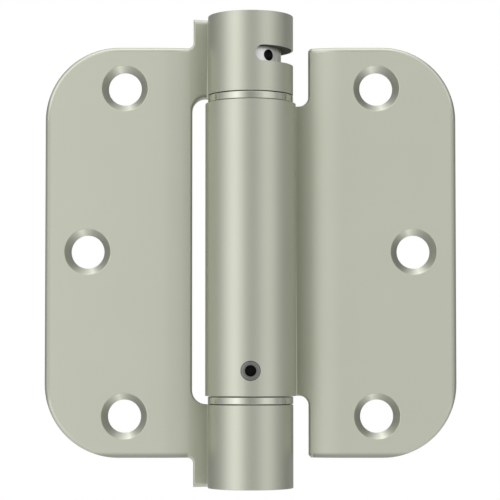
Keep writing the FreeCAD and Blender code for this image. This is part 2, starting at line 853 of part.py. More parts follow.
# Checks, then one file for each piece
for thing in doc.Objects:
    faults = [state for state in thing.State if state in ("Invalid", "Error")]
    if faults:
        raise RuntimeError(f"{thing.Label} is {faults}")

os.makedirs("parts", exist_ok=True)
pieces = [thing for thing in doc.Objects if thing.TypeId in ("PartDesign::Body", "Part::Feature")]
for piece in pieces:
    if piece.Shape.isNull() or not piece.Shape.isValid():
        raise RuntimeError(f"{piece.Label} has no valid shape")
    if len(piece.Shape.Solids) != 1:
        raise RuntimeError(f"{piece.Label} isn't one solid")
    piece.Shape.exportStep(f"parts/{piece.Label}.step")
    print(f"{piece.Label}: {piece.Shape.Volume:.1f} mm3")
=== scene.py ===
import math

import bmesh
import bpy
from bpy.props import FloatProperty, FloatVectorProperty, IntProperty, PointerProperty
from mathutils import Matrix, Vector


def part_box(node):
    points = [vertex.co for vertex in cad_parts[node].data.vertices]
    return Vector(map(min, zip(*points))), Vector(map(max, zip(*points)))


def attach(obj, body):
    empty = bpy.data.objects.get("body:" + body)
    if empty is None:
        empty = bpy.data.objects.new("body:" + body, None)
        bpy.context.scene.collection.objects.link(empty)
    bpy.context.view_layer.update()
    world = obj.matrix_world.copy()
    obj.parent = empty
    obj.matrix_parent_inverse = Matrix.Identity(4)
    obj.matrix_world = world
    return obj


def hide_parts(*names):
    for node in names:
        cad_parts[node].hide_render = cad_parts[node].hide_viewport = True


bl_info = {
    "name": "Spring Hinge",
    "version": (1, 0, 0),
    "blender": (4, 5, 0),
    "location": "View3D > Sidebar > Hinge",
    "description": "Dresses a spring loaded door hinge in satin nickel round its packed frame",
    "category": "Object",
}

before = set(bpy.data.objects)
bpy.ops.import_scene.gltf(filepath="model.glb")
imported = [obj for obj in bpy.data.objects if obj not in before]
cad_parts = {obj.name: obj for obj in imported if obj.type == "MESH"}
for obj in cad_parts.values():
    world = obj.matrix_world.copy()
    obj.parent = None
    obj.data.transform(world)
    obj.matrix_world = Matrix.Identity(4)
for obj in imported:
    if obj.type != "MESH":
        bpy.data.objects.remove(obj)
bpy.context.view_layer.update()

MM = 0.001
FULL_TURN = math.tau
QUARTER = math.pi / 2

# How near a point has to be to count as on a line, and how near two points are when they merge
CLOSE = 0.02 * MM
DOUBLE = 0.001 * MM

# Faces that meet at more than this keep a crisp edge
CRISP_ANGLE = math.radians(32)

# How far cutters reach past what they cut: as a share of its size, and for rods
SPARE = 1.5
ROD_SPARE = 1.0 * MM
PIN_SPARE = 0.2 * MM

# Steps along each kind of curve
FINE_EDGE_STEPS = 2
EDGE_STEPS = 3
RIM_STEPS = 5
FOLD_STEPS = 5
CUTTER_STEPS = 8
CORNER_STEPS = 24
PEG_STEPS = 32
SLOT_STEPS = 40
PIN_STEPS = 48
SCREW_HOLE_STEPS = 72
ROLL_STEPS = 90
CAP_STEPS = 96
TURNED_STEPS = 120

# Shares of a rim's rounding: on a notch's bevel, inside a bore, and where the rounding fades out
SLANT_SHARE = 0.8
BORE_EDGE_SHARE = 0.6
FADED = 0.05

# The lip beside each knuckle: how far it runs under the roll, and how soon the slope is back
LIP_OVERLAP = 0.1 * MM
LIP_DROP = 0.04 * MM

# The two painted highlight fans in a countersink: how far they lean to the left of upright, how
# wide they are and how they fall off, and the painted mark's value between them
FAN_LEAN = math.radians(15)
FAN_WIDTH = math.radians(24)
FAN_FALL = 1.2
BETWEEN_FANS = 0.02

FRAME_LOW, FRAME_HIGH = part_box("frame_leaf")
DOOR_LOW, DOOR_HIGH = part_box("door_leaf")
PIN_LOW, PIN_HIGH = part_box("anchor_roll_pin")
ADJUSTER_LOW, ADJUSTER_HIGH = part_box("tension_adjuster")
CAP_LOW, CAP_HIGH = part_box("bottom_cap")
UPPER_WASHER_LOW, UPPER_WASHER_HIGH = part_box("upper_bearing_washer")
LOWER_WASHER_LOW, LOWER_WASHER_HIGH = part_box("lower_bearing_washer")

# Levels of the knuckle ends, read from what stands between them
SEAT_GAP = 0.12 * MM
TOP_KNUCKLE_FLOOR = UPPER_WASHER_HIGH.z + SEAT_GAP
MIDDLE_KNUCKLE_ROOF = UPPER_WASHER_LOW.z - SEAT_GAP
MIDDLE_KNUCKLE_FLOOR = LOWER_WASHER_HIGH.z + SEAT_GAP
BOTTOM_KNUCKLE_ROOF = LOWER_WASHER_LOW.z - SEAT_GAP
PIN_LEVEL = (PIN_LOW.z + PIN_HIGH.z) / 2


def length(name, description, default):
    return FloatProperty(
        name=name, description=description, default=default,
        min=0.0, precision=6, unit="LENGTH", subtype="DISTANCE",
    )


def angle(name, description, degrees):
    return FloatProperty(
        name=name, description=description, default=math.radians(degrees),
        unit="ROTATION", subtype="ANGLE",
    )


def tone(name, description, default):
    return FloatVectorProperty(
        name=name, description=description, default=default,
        size=3, min=0.0, max=1.0, subtype="COLOR",
    )


def level(name, description, default):
    return FloatProperty(
        name=name, description=description, default=default, min=0.0, max=10.0, subtype="FACTOR"
    )


class HingeSizes(bpy.types.PropertyGroup):
    """Sizes of the hinge's visible pieces"""

    leaf_height: length("Leaf height", "Height of both leaves", DOOR_HIGH.z - DOOR_LOW.z)
    frame_reach: length("Frame leaf reach", "From the axis to the frame leaf's edge", -FRAME_LOW.x)
    door_reach: length("Door leaf reach", "From the axis to the door leaf's edge", DOOR_HIGH.x)
    sheet: length("Sheet", "Thickness of the rolled sheet", 2.5 * MM)
    closed_gap: length("Closed gap", "Gap between the leaves when shut", 1.6 * MM)
    corner: length("Corner radius", "Radius of the leaves' outer corners", 15.9 * MM)
    rim: length("Rim rounding", "Rounding of the leaves' front rim", 1.0 * MM)
    back_rim: length("Back rim rounding", "Rounding of the leaves' back rim", 0.25 * MM)
    fold_angle: angle("Fold angle", "How far the sheet folds back beside the barrel", 23.0)
    fold_radius: length("Fold radius", "Radius of the fold on the front face", 18.0 * MM)
    end_knuckle: length("End knuckle radius", "Outer radius of the two end knuckles", FRAME_HIGH.x)
    middle_knuckle: length("Middle knuckle radius", "Its outer radius", -DOOR_LOW.y)
    knuckle_edge: length("Knuckle edge", "Rounding of the knuckles' ends", 0.12 * MM)
    inner_rim: length("Inner rim rounding", "Rounding of front edges beside the barrel", 0.45 * MM)
    hidden_rim: length("Hidden rim rounding", "Rounding of edges that meet the roll", 0.25 * MM)
    seam_lip: length("Seam lip", "Width of the bright lip beside each knuckle", 0.36 * MM)
    roll_seam: length("Roll seam", "Gap where the roll meets its own leaf", 0.15 * MM)
    tab_reach: length("Tab reach", "From the axis to the step beside the knuckles", 12.4 * MM)
    tab_fillet: length("Tab fillet", "Inside radius at that step", 1.3 * MM)
    window_reach: length("Window reach", "From the axis to the frame leaf's window", 12.7 * MM)
    window_corner: length("Window corner", "Inside radius of the window", 3.0 * MM)
    notch_reach: length("Notch reach", "From the axis to the door leaf's notches", 12.6 * MM)
    notch_corner: length("Notch corner", "Inside radius of the notches", 2.1 * MM)
    notch_lip: length("Notch lip", "Bevel on the notches' outer corners", 0.5 * MM)
    ring_crown: length("Ring crown", "Rounding of the washers' outer edges", 0.22 * MM)
    screw_spacing: length("Screw spacing", "Between the outer screw holes", 71.0 * MM)
    outer_screw: length("Outer screw reach", "From the axis to the outer screw holes", 27.25 * MM)
    middle_screw: length("Middle screw reach", "From the axis to the middle screw hole", 35.25 * MM)
    screw_hole: length("Screw hole", "Diameter of the screw holes", 7.2 * MM)
    countersink: length("Countersink", "Diameter of the countersinks at the face", 10.05 * MM)
    hole_edge: length("Hole edge", "Rounding of the countersinks' outer edge", 0.1 * MM)
    slot_height: length("Slot height", "Height of the adjusting slot", 3.45 * MM)
    slot_drop: length("Slot drop", "From the barrel's top to the slot's middle", 9.05 * MM)
    slot_edge: length("Slot edge", "Rounding of the slot's outer edge", 0.28 * MM)
    slot_start: angle("Slot start", "Where the slot starts, right of the front", 6.6)
    slot_end: angle("Slot end", "Where the slot ends, right of the front", 150.0)
    peg_hole: length("Peg hole", "Diameter of the adjuster's peg holes", 2.4 * MM)
    peg_depth: length("Peg depth", "Depth of the adjuster's peg holes", 3.4 * MM)
    peg_edge: length("Peg hole edge", "Rounding of the peg holes' mouths", 0.07 * MM)
    peg_angle: angle("Peg angle", "Where the first peg hole is, right of the front", 36.0)
    peg_count: IntProperty(
        name="Peg holes", description="Peg holes round the adjuster", default=5, min=1
    )
    wrench_flats: length("Wrench flats", "Width of the adjuster's socket", 4.8 * MM)
    wrench_depth: length("Wrench depth", "Depth of the adjuster's socket", 5.0 * MM)
    plug_edge: length("Plug edge", "Rounding of the adjuster's upper edge", 0.5 * MM)
    arbor_seat: length("Arbor seat", "Depth of the arbor's seat in the adjuster", 3.15 * MM)
    arbor_bore: length("Arbor bore", "Radius of the arbor's seat in the adjuster", 3.09 * MM)
    pin_wall: length("Pin wall", "Wall of the roll pin", 0.85 * MM)
    pin_bevel: length("Pin bevel", "Bevel on the roll pin's ends", 0.3 * MM)
    pin_clearance: length("Pin clearance", "Room round the roll pin", 0.03 * MM)
    pin_hole_edge: length("Pin hole edge", "Rounding of the roll pin's hole", 0.15 * MM)
    cap_border: length("Cap border", "Width of the flat border on the bottom cap", 1.1 * MM)
    cap_slope: length("Cap slope", "Width of the slope inside that border", 0.35 * MM)
    cap_dish: length("Cap dish", "Depth of the bottom cap's middle", 0.3 * MM)
    cap_edge: length("Cap edge", "Rounding of the bottom cap's edge", 0.35 * MM)


class HingeLooks(bpy.types.PropertyGroup):
    """Finishes of the hinge and levels of its studio light"""

    leaf_tone: tone("Leaf tone", "Satin nickel on the flat leaves", (0.575, 0.588, 0.497))
    # Painted shade: the roll's tone is darker than the leaves' tone of the same plating
    barrel_shaded_tone: tone("Barrel shaded tone", "Satin nickel on the rolled barrel", (0.490, 0.501, 0.424))
    ring_tone: tone("Ring tone", "Polished nickel of the bearing washers", (0.520, 0.530, 0.455))
    zinc_tone: tone("Zinc tone", "Bright zinc of the tension adjuster", (0.66, 0.67, 0.65))
    # Painted shade and painted highlight: the countersinks' colour beside the fans and in them
    countersink_painted_shade: tone("Countersink painted shade", "Countersinks beside the fans", (0.36, 0.366, 0.318))
    countersink_painted_highlight: tone("Countersink painted highlight", "Countersinks in the fans", (0.90, 0.913, 0.805))
    pin_tone: tone("Pin tone", "Dark steel of the roll pin", (0.215, 0.217, 0.205))
    leaf_roughness: level("Leaf roughness", "How soft reflections are on the leaves", 0.55)
    barrel_roughness: level("Barrel roughness", "How soft reflections are on the barrel", 0.40)
    wall: level("Wall", "Brightness of the light wall where it is brightest", 1.73)
    top_panel: level("Top panel", "Brightness of the panel overhead", 1.65)
    low_panel: level("Low panel", "Brightness of the panel below", 0.85)
    fill: level("Fill", "Brightness of the room on rough surfaces", 0.8)


# Selecting and shaping


def select_none():
    if bpy.context.object is not None and bpy.context.object.mode != "OBJECT":
        bpy.ops.object.mode_set(mode="OBJECT")
    bpy.ops.object.select_all(action="DESELECT")


def take_up(thing):
    """Makes a thing the only one that operators act on."""
    select_none()
    thing.select_set(True)
    bpy.context.view_layer.objects.active = thing


def edit(thing, kind="EDGE"):
    take_up(thing)
    bpy.ops.object.mode_set(mode="EDIT")
    bpy.ops.mesh.select_mode(type=kind)
    bpy.ops.mesh.select_all(action="DESELECT")


def leave_edit():
    bpy.ops.object.mode_set(mode="OBJECT")


def pick_all():
    bpy.ops.mesh.select_all(action="SELECT")


def pick(kind, wanted):
    """Selects the vertices, edges or faces in edit mode whose points pass a test."""
    bpy.ops.mesh.select_all(action="DESELECT")
    mesh = bpy.context.object.data
    shape = bmesh.from_edit_mesh(mesh)
    count = 0
    for item in getattr(shape, kind):
        points = [item.co] if kind == "verts" else [vertex.co for vertex in item.verts]
        if wanted(points):
            item.select_set(True)
            count += 1
    shape.select_flush_mode()
    bmesh.update_edit_mesh(mesh)
    if not count:
        raise RuntimeError(f"nothing to select on {bpy.context.object.name}")


def each(test):
    """A test for edges and faces whose points all pass one for points."""
    return lambda points: all(test(point) for point in points)


def near(a, b, slack=CLOSE):
    return abs(a - b) < slack


def push(way):
    bpy.ops.mesh.extrude_region_move(TRANSFORM_OT_translate={"value": way})


def spin(turn, steps, centre=(0, 0, 0), axis=(0, 0, 1)):
    """Spins the selection anticlockwise about an axis; the operator itself turns the other way."""
    bpy.ops.mesh.spin(steps=steps, angle=-turn, center=centre, axis=axis)


def spin_outline(turn, steps):
    """Spins a flat piece's outline about the pin axis, in edit mode, without its face."""
    pick_all()
    bpy.ops.mesh.delete(type="ONLY_FACE")
    bpy.ops.mesh.select_mode(type="EDGE")
    pick_all()
    spin(turn, steps)


def tidy_mesh():
    """Merges doubles and turns the faces outwards, in edit mode."""
    pick_all()
    bpy.ops.mesh.remove_doubles(threshold=DOUBLE)
    bpy.ops.mesh.normals_make_consistent(inside=False)


def name_piece(thing, name):
    thing.name = thing.data.name = name
    return thing


def settle(thing):
    """Puts a thing's place into its mesh."""
    take_up(thing)
    bpy.ops.object.transform_apply(location=True, rotation=True, scale=True)
    return thing


def block(low, high):
    select_none()
    low, high = Vector(low), Vector(high)
    bpy.ops.mesh.primitive_cube_add(size=1, location=(low + high) / 2)
    bpy.ops.transform.resize(value=high - low)
    return settle(bpy.context.object)


def card(centre, across, up):
    """A flat oblong in the plane of its two sides, given as vectors."""
    select_none()
    bpy.ops.mesh.primitive_plane_add(size=1)
    thing = bpy.context.object
    for vertex in thing.data.vertices:
        vertex.co = Vector(centre) + Vector(across) * vertex.co.x + Vector(up) * vertex.co.y
    return thing


def rod(start, end, radius, sides):
    """A straight round bar between two points."""
    select_none()
    start, end = Vector(start), Vector(end)
    along = end - start
    bpy.ops.mesh.primitive_cylinder_add(
        vertices=sides,
        radius=radius,
        depth=along.length,
        location=(start + end) / 2,
        rotation=along.to_track_quat("Z", "Y").to_euler(),
    )
    return settle(bpy.context.object)


def upright_rod(low, high, radius, sides):
    """A round bar on the pin axis."""
    return rod((0, 0, low), (0, 0, high), radius, sides)


def cut(thing, cutter):
    """Takes one shape out of another and removes the cutter."""
    before = len(thing.data.vertices)
    take_up(thing)
    bpy.ops.object.modifier_add(type="BOOLEAN")
    modifier = thing.modifiers[-1]
    modifier.operation = "DIFFERENCE"
    modifier.solver = "EXACT"
    modifier.object = cutter
    bpy.ops.object.modifier_apply(modifier=modifier.name)
    bpy.data.meshes.remove(cutter.data)
    if len(thing.data.vertices) == before:
        raise RuntimeError(f"a cut left {thing.name} as it was")


def round_edges(thing, wanted, radius, segments=EDGE_STEPS):
    edit(thing)
    pick("edges", wanted)
    bpy.ops.mesh.bevel(
        offset=radius, segments=segments, profile=0.5, affect="EDGES", clamp_overlap=True
    )
    leave_edit()


def round_ends(thing, radius, rounding, *levels):
    """Rounds a round piece's edges of one radius at the given levels."""
    for z in levels:
        at_end = each(lambda point: near(around(point), radius) and near(point.z, z))
        round_edges(thing, at_end, rounding)


def round_upright_corners(leaf, x, top, radius, segments):
    """Rounds a leaf's outline at one distance from the axis, at its top and bottom."""
    at_corner = each(lambda point: near(point.x, x) and near(abs(point.z), top))
    round_edges(
        leaf,
        lambda points: at_corner(points) and near(points[0].z, points[1].z),
        radius,
        segments,
    )


def mark_edges(thing, wanted, weight):
    """Gives edges a share of the rounding that round_marked puts on.

    The weight is a number, or depends on an edge's middle.
    """
    weights = thing.data.attributes.get("bevel_weight_edge")
    if weights is None:
        weights = thing.data.attributes.new("bevel_weight_edge", "FLOAT", "EDGE")
    points = thing.data.vertices
    count = 0
    for edge in thing.data.edges:
        ends = [points[i].co for i in edge.vertices]
        if wanted(ends):
            share = weight((ends[0] + ends[1]) / 2) if callable(weight) else weight
            weights.data[edge.index].value = share
            count += 1
    if not count:
        raise RuntimeError(f"nothing to mark on {thing.name}")


def round_marked(thing, radius):
    """Rounds the marked edges in one go, each by its own share of the radius."""
    take_up(thing)
    bpy.ops.object.modifier_add(type="BEVEL")
    modifier = thing.modifiers[-1]
    modifier.limit_method = "WEIGHT"
    modifier.width = radius
    modifier.segments = RIM_STEPS
    modifier.use_clamp_overlap = False
    bpy.ops.object.modifier_apply(modifier=modifier.name)
    thing.data.attributes.remove(thing.data.attributes["bevel_weight_edge"])


def shade(thing):
    """Smooth faces that keep their crisp edges and flat fields."""
    take_up(thing)
    bpy.ops.object.shade_smooth_by_angle(angle=CRISP_ANGLE)
    bpy.ops.object.modifier_add(type="WEIGHTED_NORMAL")
    modifier = thing.modifiers[-1]
    modifier.keep_sharp = True
    bpy.ops.object.modifier_apply(modifier=modifier.name)


def give_finish(thing, name):
    thing.data.materials.clear()
    thing.data.materials.append(finish_named(name))


def complete(thing, node, body, finish):
    """Shades a finished piece, gives it its finish, hides the CAD part that it stands for and hangs
    it on the body that it moves with.
    """
    shade(thing)
    give_finish(thing, finish)
    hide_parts(node)
    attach(thing, body)


def around(point):
    """Distance of a point from the pin axis."""
    return math.hypot(point.x, point.y)


def off_line(point, x, z):
    """Distance of a point from a line that runs straight back."""
    return math.hypot(point.x - x, point.z - z)


def right_of_front(turn):
    """The direction, in the level plane, that is so far right of the front."""
    return Vector((math.sin(turn), -math.cos(turn), 0))


def slot_level(sizes):
    return FRAME_HIGH.z - sizes.slot_drop


# Materials

# The grain is drawn out along the pin axis
GRAIN_STRETCH = (1, 1, 0.55)

# Painted shade in holes: half the height of each, and how far under the metal's surface the painted
# shade starts
SLOT_SHADE = (1.9 * MM, 0.25 * MM)
PEG_SHADE = (1.5 * MM, 0.02 * MM)
PIN_HOLE_SHADE = (2.3 * MM, 0.25 * MM)
PIN_SHADE = (2.3 * MM, 0.3 * MM)

# How far the grain moves the roughness, in plain metal as a share of it, and how far the plating's
# clouds move the brightness of satin nickel
GRAIN_SHARE = 0.3
SATIN_GRAIN = 0.05
SATIN_CLOUD = 0.02

# The share of its brightness that metal keeps under painted shade: in holes, in a leaf's holes and
# on a leaf's sides
METAL_HOLE_SHADE = 0.35
LEAF_HOLE_SHADE = 0.25
LEAF_SIDE_SHADE = 0.64


def feed(tree, socket, value):
    """Links a socket to another one, or sets it to a number or a colour."""
    if isinstance(value, bpy.types.NodeSocket):
        tree.links.new(value, socket)
    elif isinstance(value, (int, float)):
        socket.default_value = value
    else:
        socket.default_value = (*value, 1.0)


def new_group(name, inputs, masks):
    """A node group that takes a place and named numbers, and gives named masks."""
    group = bpy.data.node_groups.new(name, "ShaderNodeTree")
    add_socket = group.interface.new_socket
    add_socket(name="Place", in_out="INPUT", socket_type="NodeSocketVector")
    for label, default in inputs.items():
        socket = add_socket(name=label, in_out="INPUT", socket_type="NodeSocketFloat")
        socket.default_value = default
    for label in masks:
        add_socket(name=label, in_out="OUTPUT", socket_type="NodeSocketFloat")
    given = group.nodes.new("NodeGroupInput").outputs
    made = group.nodes.new("NodeGroupOutput").inputs
    return group, given, made


def maths(tree, operation, *values, clamp=False):
    node = tree.nodes.new("ShaderNodeMath")
    node.operation = operation
    node.use_clamp = clamp
    for socket, value in zip(node.inputs, values):
        feed(tree, socket, value)
    return node.outputs[0]


def noise(tree, place, scale, detail, stretch=(1, 1, 1)):
    mapping = tree.nodes.new("ShaderNodeMapping")
    mapping.inputs["Scale"].default_value = stretch
    feed(tree, mapping.inputs["Vector"], place)
    node = tree.nodes.new("ShaderNodeTexNoise")
    feed(tree, node.inputs["Detail"], detail)
    feed(tree, node.inputs["Scale"], scale)
    feed(tree, node.inputs["Vector"], mapping.outputs["Vector"])
    return node.outputs["Fac"]


def mix_tones(tree, mask, first, second, blend="MIX"):
    node = tree.nodes.new("ShaderNodeMix")
    node.data_type = "RGBA"
    node.blend_type = blend
    for i, value in ((0, mask), (6, first), (7, second)):
        feed(tree, node.inputs[i], value)
    return node.outputs[2]


def darken(tree, colour, mask, share):
    """Brings a colour down to a share of itself where the mask is white."""
    return mix_tones(tree, mask, colour, (share, share, share), "MULTIPLY")


def coordinates(tree, place):
    node = tree.nodes.new("ShaderNodeSeparateXYZ")
    feed(tree, node.inputs[0], place)
    return node.outputs


def metal_grain_group():
    """Fine matt grain and slow cloudiness of the plating, each above and below zero."""
    inputs = {"Grain size": 5200.0, "Grain detail": 3.0, "Cloud size": 70.0, "Cloud detail": 2.0}
    group, given, made = new_group("Metal grain", inputs, ["Grain", "Cloud"])
    place = given["Place"]
    fine = noise(group, place, given["Grain size"], given["Grain detail"], GRAIN_STRETCH)
    cloud = noise(group, place, given["Cloud size"], given["Cloud detail"])
    feed(group, made["Grain"], maths(group, "SUBTRACT", fine, 0.5))
    feed(group, made["Cloud"], maths(group, "SUBTRACT", cloud, 0.5))
    return group


def within_reach(group, given):
    """White nearer to the pin axis than the group's reach."""
    x, y, _ = coordinates(group, given["Place"])
    squares = maths(group, "ADD", maths(group, "POWER", x, 2.0), maths(group, "POWER", y, 2.0))
    short = maths(group, "SUBTRACT", given["Reach"], maths(group, "SQRT", squares))
    return maths(group, "DIVIDE", short, given["Blur"], clamp=True)


def barrel_mask_group():
    """White on the rolled barrel and black on the flat leaves, by distance from the pin axis."""
    inputs = {"Reach": 9.95 * MM, "Blur": 0.15 * MM}
    group, given, made = new_group("Barrel mask", inputs, ["Mask"])
    feed(group, made["Mask"], within_reach(group, given))
    return group


def leaf_rim_group():
    """White on the upper rims of leaves, corners and tab, and a mask of painted shade for the other
    sides.
    """
    inputs = {
        "Top": 43.4 * MM,
        "Step": 13.5 * MM,
        "Step height": 6.35 * MM,
        "Corner": 28.5 * MM,
        "Fold": 20.4 * MM,
        "Face": 0.83 * MM,
        "Back": 3.2 * MM,
        "Side": 43.2 * MM,
        "Blur": 0.7 * MM,
    }
    group, given, made = new_group("Leaf rim", inputs, ["Upper", "Side"])
    x, y, z = coordinates(group, given["Place"])

    def both(first, second):
        return maths(group, "MULTIPLY", first, second)

    def beyond(value, limit):
        return maths(group, "GREATER_THAN", value, limit)

    out = maths(group, "ABSOLUTE", x)
    in_sheet = both(beyond(y, given["Face"]), beyond(given["Back"], y))
    beyond_fold = both(beyond(out, given["Fold"]), in_sheet)
    on_corner = both(beyond(z, given["Corner"]), beyond_fold)
    step = both(beyond(given["Step"], out), given["Step height"])
    on_top = beyond(z, maths(group, "ADD", step, given["Top"]))
    feed(group, made["Upper"], maths(group, "MAXIMUM", on_corner, on_top))
    # The side mask says where painted shade darkens the leaves' outer sides
    below = both(both(z, -1.0), beyond(out, given["Step"]))
    past = maths(group, "SUBTRACT", maths(group, "MAXIMUM", out, below), given["Side"])
    feed(group, made["Side"], maths(group, "DIVIDE", past, given["Blur"], clamp=True))
    return group


def drilled_shade_group():
    """White in holes at one level of the barrel, where the metal is darkened by painted shade."""
    inputs = {"Reach": 9.0 * MM, "Blur": 0.12 * MM, "Level": 0.0, "Half height": 2.0 * MM}
    group, given, made = new_group("Drilled shade", inputs, ["Mask"])
    _, _, z = coordinates(group, given["Place"])
    off_level = maths(group, "ABSOLUTE", maths(group, "SUBTRACT", z, given["Level"]))
    at_level = maths(group, "LESS_THAN", off_level, given["Half height"])
    mask = maths(group, "MULTIPLY", within_reach(group, given), at_level)
    feed(group, made["Mask"], mask)
    return group


GROUP_MAKERS = {
    "Metal grain": metal_grain_group,
    "Barrel mask": barrel_mask_group,
    "Leaf rim": leaf_rim_group,
    "Drilled shade": drilled_shade_group,
}


def add_group(tree, name, place, **values):
    """Places a node group, which is built the first time that it is asked for."""
    node = tree.nodes.new("ShaderNodeGroup")
    node.node_tree = bpy.data.node_groups.get(name) or GROUP_MAKERS[name]()
    feed(tree, node.inputs["Place"], place)
    for label, value in values.items():
        node.inputs[label.replace("_", " ").capitalize()].default_value = value
    return node.outputs


def new_material(name):
    material = bpy.data.materials.new(name)
    material.use_nodes = True
    tree = material.node_tree
    return material, tree, tree.nodes["Principled BSDF"]


def new_finish(name, metallic):
    """Starts a finish: its nodes, its shader's sockets and the piece's own place."""
    _, tree, shader = new_material(name)
    shader.inputs["Metallic"].default_value = metallic
    place = tree.nodes.new("ShaderNodeTexCoord").outputs["Object"]
    return tree, shader.inputs, place


def add_bump(tree, shader, height, strength, distance):
    bump = tree.nodes.new("ShaderNodeBump")
    feed(tree, bump.inputs["Strength"], strength)
    feed(tree, bump.inputs["Distance"], distance)
    feed(tree, bump.inputs["Height"], height)
    feed(tree, shader["Normal"], bump.outputs["Normal"])


def metal(name, colour, roughness, worn=0.05, holes=None):
    """Plain metal with grain in its height, roughness and colour, and painted shade in holes where
    given.
    """
    tree, shader, place = new_finish(name, 1.0)
    grain = add_group(tree, "Metal grain", place)
    deeper = [channel * (1 - worn) for channel in colour]
    lighter = [min(1.0, channel * (1 + worn)) for channel in colour]
    base = mix_tones(tree, maths(tree, "ADD", grain["Cloud"], 0.5), deeper, lighter)
    if holes:
        # Painted shade: the metal's colour is darkened inside the given holes
        painted_hole_shade = add_group(tree, "Drilled shade", place, **holes)["Mask"]
        base = darken(tree, base, painted_hole_shade, METAL_HOLE_SHADE)
    feed(tree, shader["Base Color"], base)
    rough = maths(tree, "MULTIPLY_ADD", grain["Grain"], roughness * GRAIN_SHARE, roughness)
    feed(tree, shader["Roughness"], rough)
    add_bump(tree, shader, grain["Grain"], strength=0.2, distance=0.006 * MM)


def satin_nickel(name, looks, holes):
    """Satin nickel plate: soft and matt on the leaves, closer on the roll, whose tone painted shade
    makes deeper.
    """
    tree, shader, place = new_finish(name, 1.0)
    grain = add_group(tree, "Metal grain", place)
    rolled = add_group(tree, "Barrel mask", place)["Mask"]
    rim = add_group(tree, "Leaf rim", place)
    painted_hole_shade = add_group(tree, "Drilled shade", place, **holes)["Mask"]
    # Painted highlight: the countersinks' fans are read from a mark on the mesh
    turned = tree.nodes.new("ShaderNodeAttribute")
    turned.attribute_name = "turned"
    turned = turned.outputs["Fac"]
    drilled = maths(tree, "GREATER_THAN", turned, BETWEEN_FANS / 2)

    clouded = tree.nodes.new("ShaderNodeBrightContrast")
    # Painted shade: the roll gets a darker tone than the leaves
    plain = mix_tones(tree, rolled, looks.leaf_tone, looks.barrel_shaded_tone)
    feed(tree, clouded.inputs["Color"], plain)
    feed(tree, clouded.inputs["Bright"], maths(tree, "MULTIPLY", grain["Cloud"], SATIN_CLOUD))
    # Painted highlight in the fans and painted shade beside them, in the countersinks' colour
    fan = mix_tones(tree, turned, looks.countersink_painted_shade, looks.countersink_painted_highlight)
    base = mix_tones(tree, drilled, clouded.outputs["Color"], fan)
    # Painted shade: the colour is darkened inside the slot or the pin hole
    base = darken(tree, base, painted_hole_shade, LEAF_HOLE_SHADE)
    # Painted shade: the leaves' outer sides are darkened
    feed(tree, shader["Base Color"], darken(tree, base, rim["Side"], LEAF_SIDE_SHADE))

    closer = maths(tree, "MAXIMUM", maths(tree, "MAXIMUM", rolled, drilled), rim["Upper"])
    change = looks.barrel_roughness - looks.leaf_roughness
    rough = maths(tree, "MULTIPLY_ADD", closer, change, looks.leaf_roughness)
    rough = maths(tree, "MULTIPLY_ADD", grain["Grain"], SATIN_GRAIN, rough)
    feed(tree, shader["Roughness"], maths(tree, "MAXIMUM", rough, painted_hole_shade))
    add_bump(tree, shader, grain["Grain"], strength=0.08, distance=0.003 * MM)


def nylon(name):
    """Milky moulded nylon."""
    tree, shader, place = new_finish(name, 0.0)
    grain = add_group(tree, "Metal grain", place, grain_size=1400.0)
    cloud = maths(tree, "ADD", grain["Cloud"], 0.5)
    base = mix_tones(tree, cloud, (0.74, 0.72, 0.66), (0.82, 0.80, 0.75))
    feed(tree, shader["Base Color"], base)
    feed(tree, shader["Roughness"], maths(tree, "MULTIPLY_ADD", grain["Grain"], 0.15, 0.5))
    shader["Subsurface Weight"].default_value = 0.08
    shader["Subsurface Radius"].default_value = (1.2 * MM, 1.0 * MM, 0.8 * MM)
    add_bump(tree, shader, grain["Grain"], strength=0.3, distance=0.02 * MM)


def finish_named(name):
    """A finish of the hinge, built the first time that it is asked for.

    None has the name of a CAD material, which would then be taken for it.
    """
    if name in bpy.data.materials:
        return bpy.data.materials[name]
    looks = bpy.context.scene.hinge_looks
    sizes = bpy.context.scene.hinge_sizes

    # Where each finish gets painted shade in its holes
    def holes(level, radius, half_height, depth):
        return {"level": level, "half_height": half_height, "reach": radius - depth}

    slot = holes(slot_level(sizes), sizes.end_knuckle, *SLOT_SHADE)
    peg_hole = holes(slot_level(sizes), ADJUSTER_HIGH.x, *PEG_SHADE)
    pin_hole = holes(PIN_LEVEL, sizes.middle_knuckle, *PIN_HOLE_SHADE)
    pin = holes(PIN_LEVEL, sizes.middle_knuckle, *PIN_SHADE)
    makers = {
        "satin_nickel_frame": lambda: satin_nickel(name, looks, slot),
        "satin_nickel_door": lambda: satin_nickel(name, looks, pin_hole),
        "polished_ring": lambda: metal(name, looks.ring_tone, roughness=0.14, worn=0.02),
        "zinc_plug": lambda: metal(name, looks.zinc_tone, roughness=0.30, holes=peg_hole),
        "dark_pin": lambda: metal(name, looks.pin_tone, roughness=0.34, worn=0.12, holes=pin),
        "wound_spring": lambda: metal(name, (0.16, 0.155, 0.15), roughness=0.36, worn=0.15),
        "drawn_arbor": lambda: metal(name, (0.45, 0.45, 0.44), roughness=0.40, worn=0.10),
        "oiled_plug": lambda: metal(name, (0.07, 0.068, 0.064), roughness=0.40, worn=0.15),
        "nylon_sleeve": lambda: nylon(name),
    }
    makers[name]()
    return bpy.data.materials[name]


# Leaves


def fold_start(sizes, bore):
    """How far from the pin axis the flat leaf starts to fold back."""
    face = sizes.closed_gap / 2
    lean = sizes.fold_angle
    meeting = (bore - math.cos(lean) * face) / math.sin(lean)
    return meeting + sizes.fold_radius * math.tan(lean / 2)


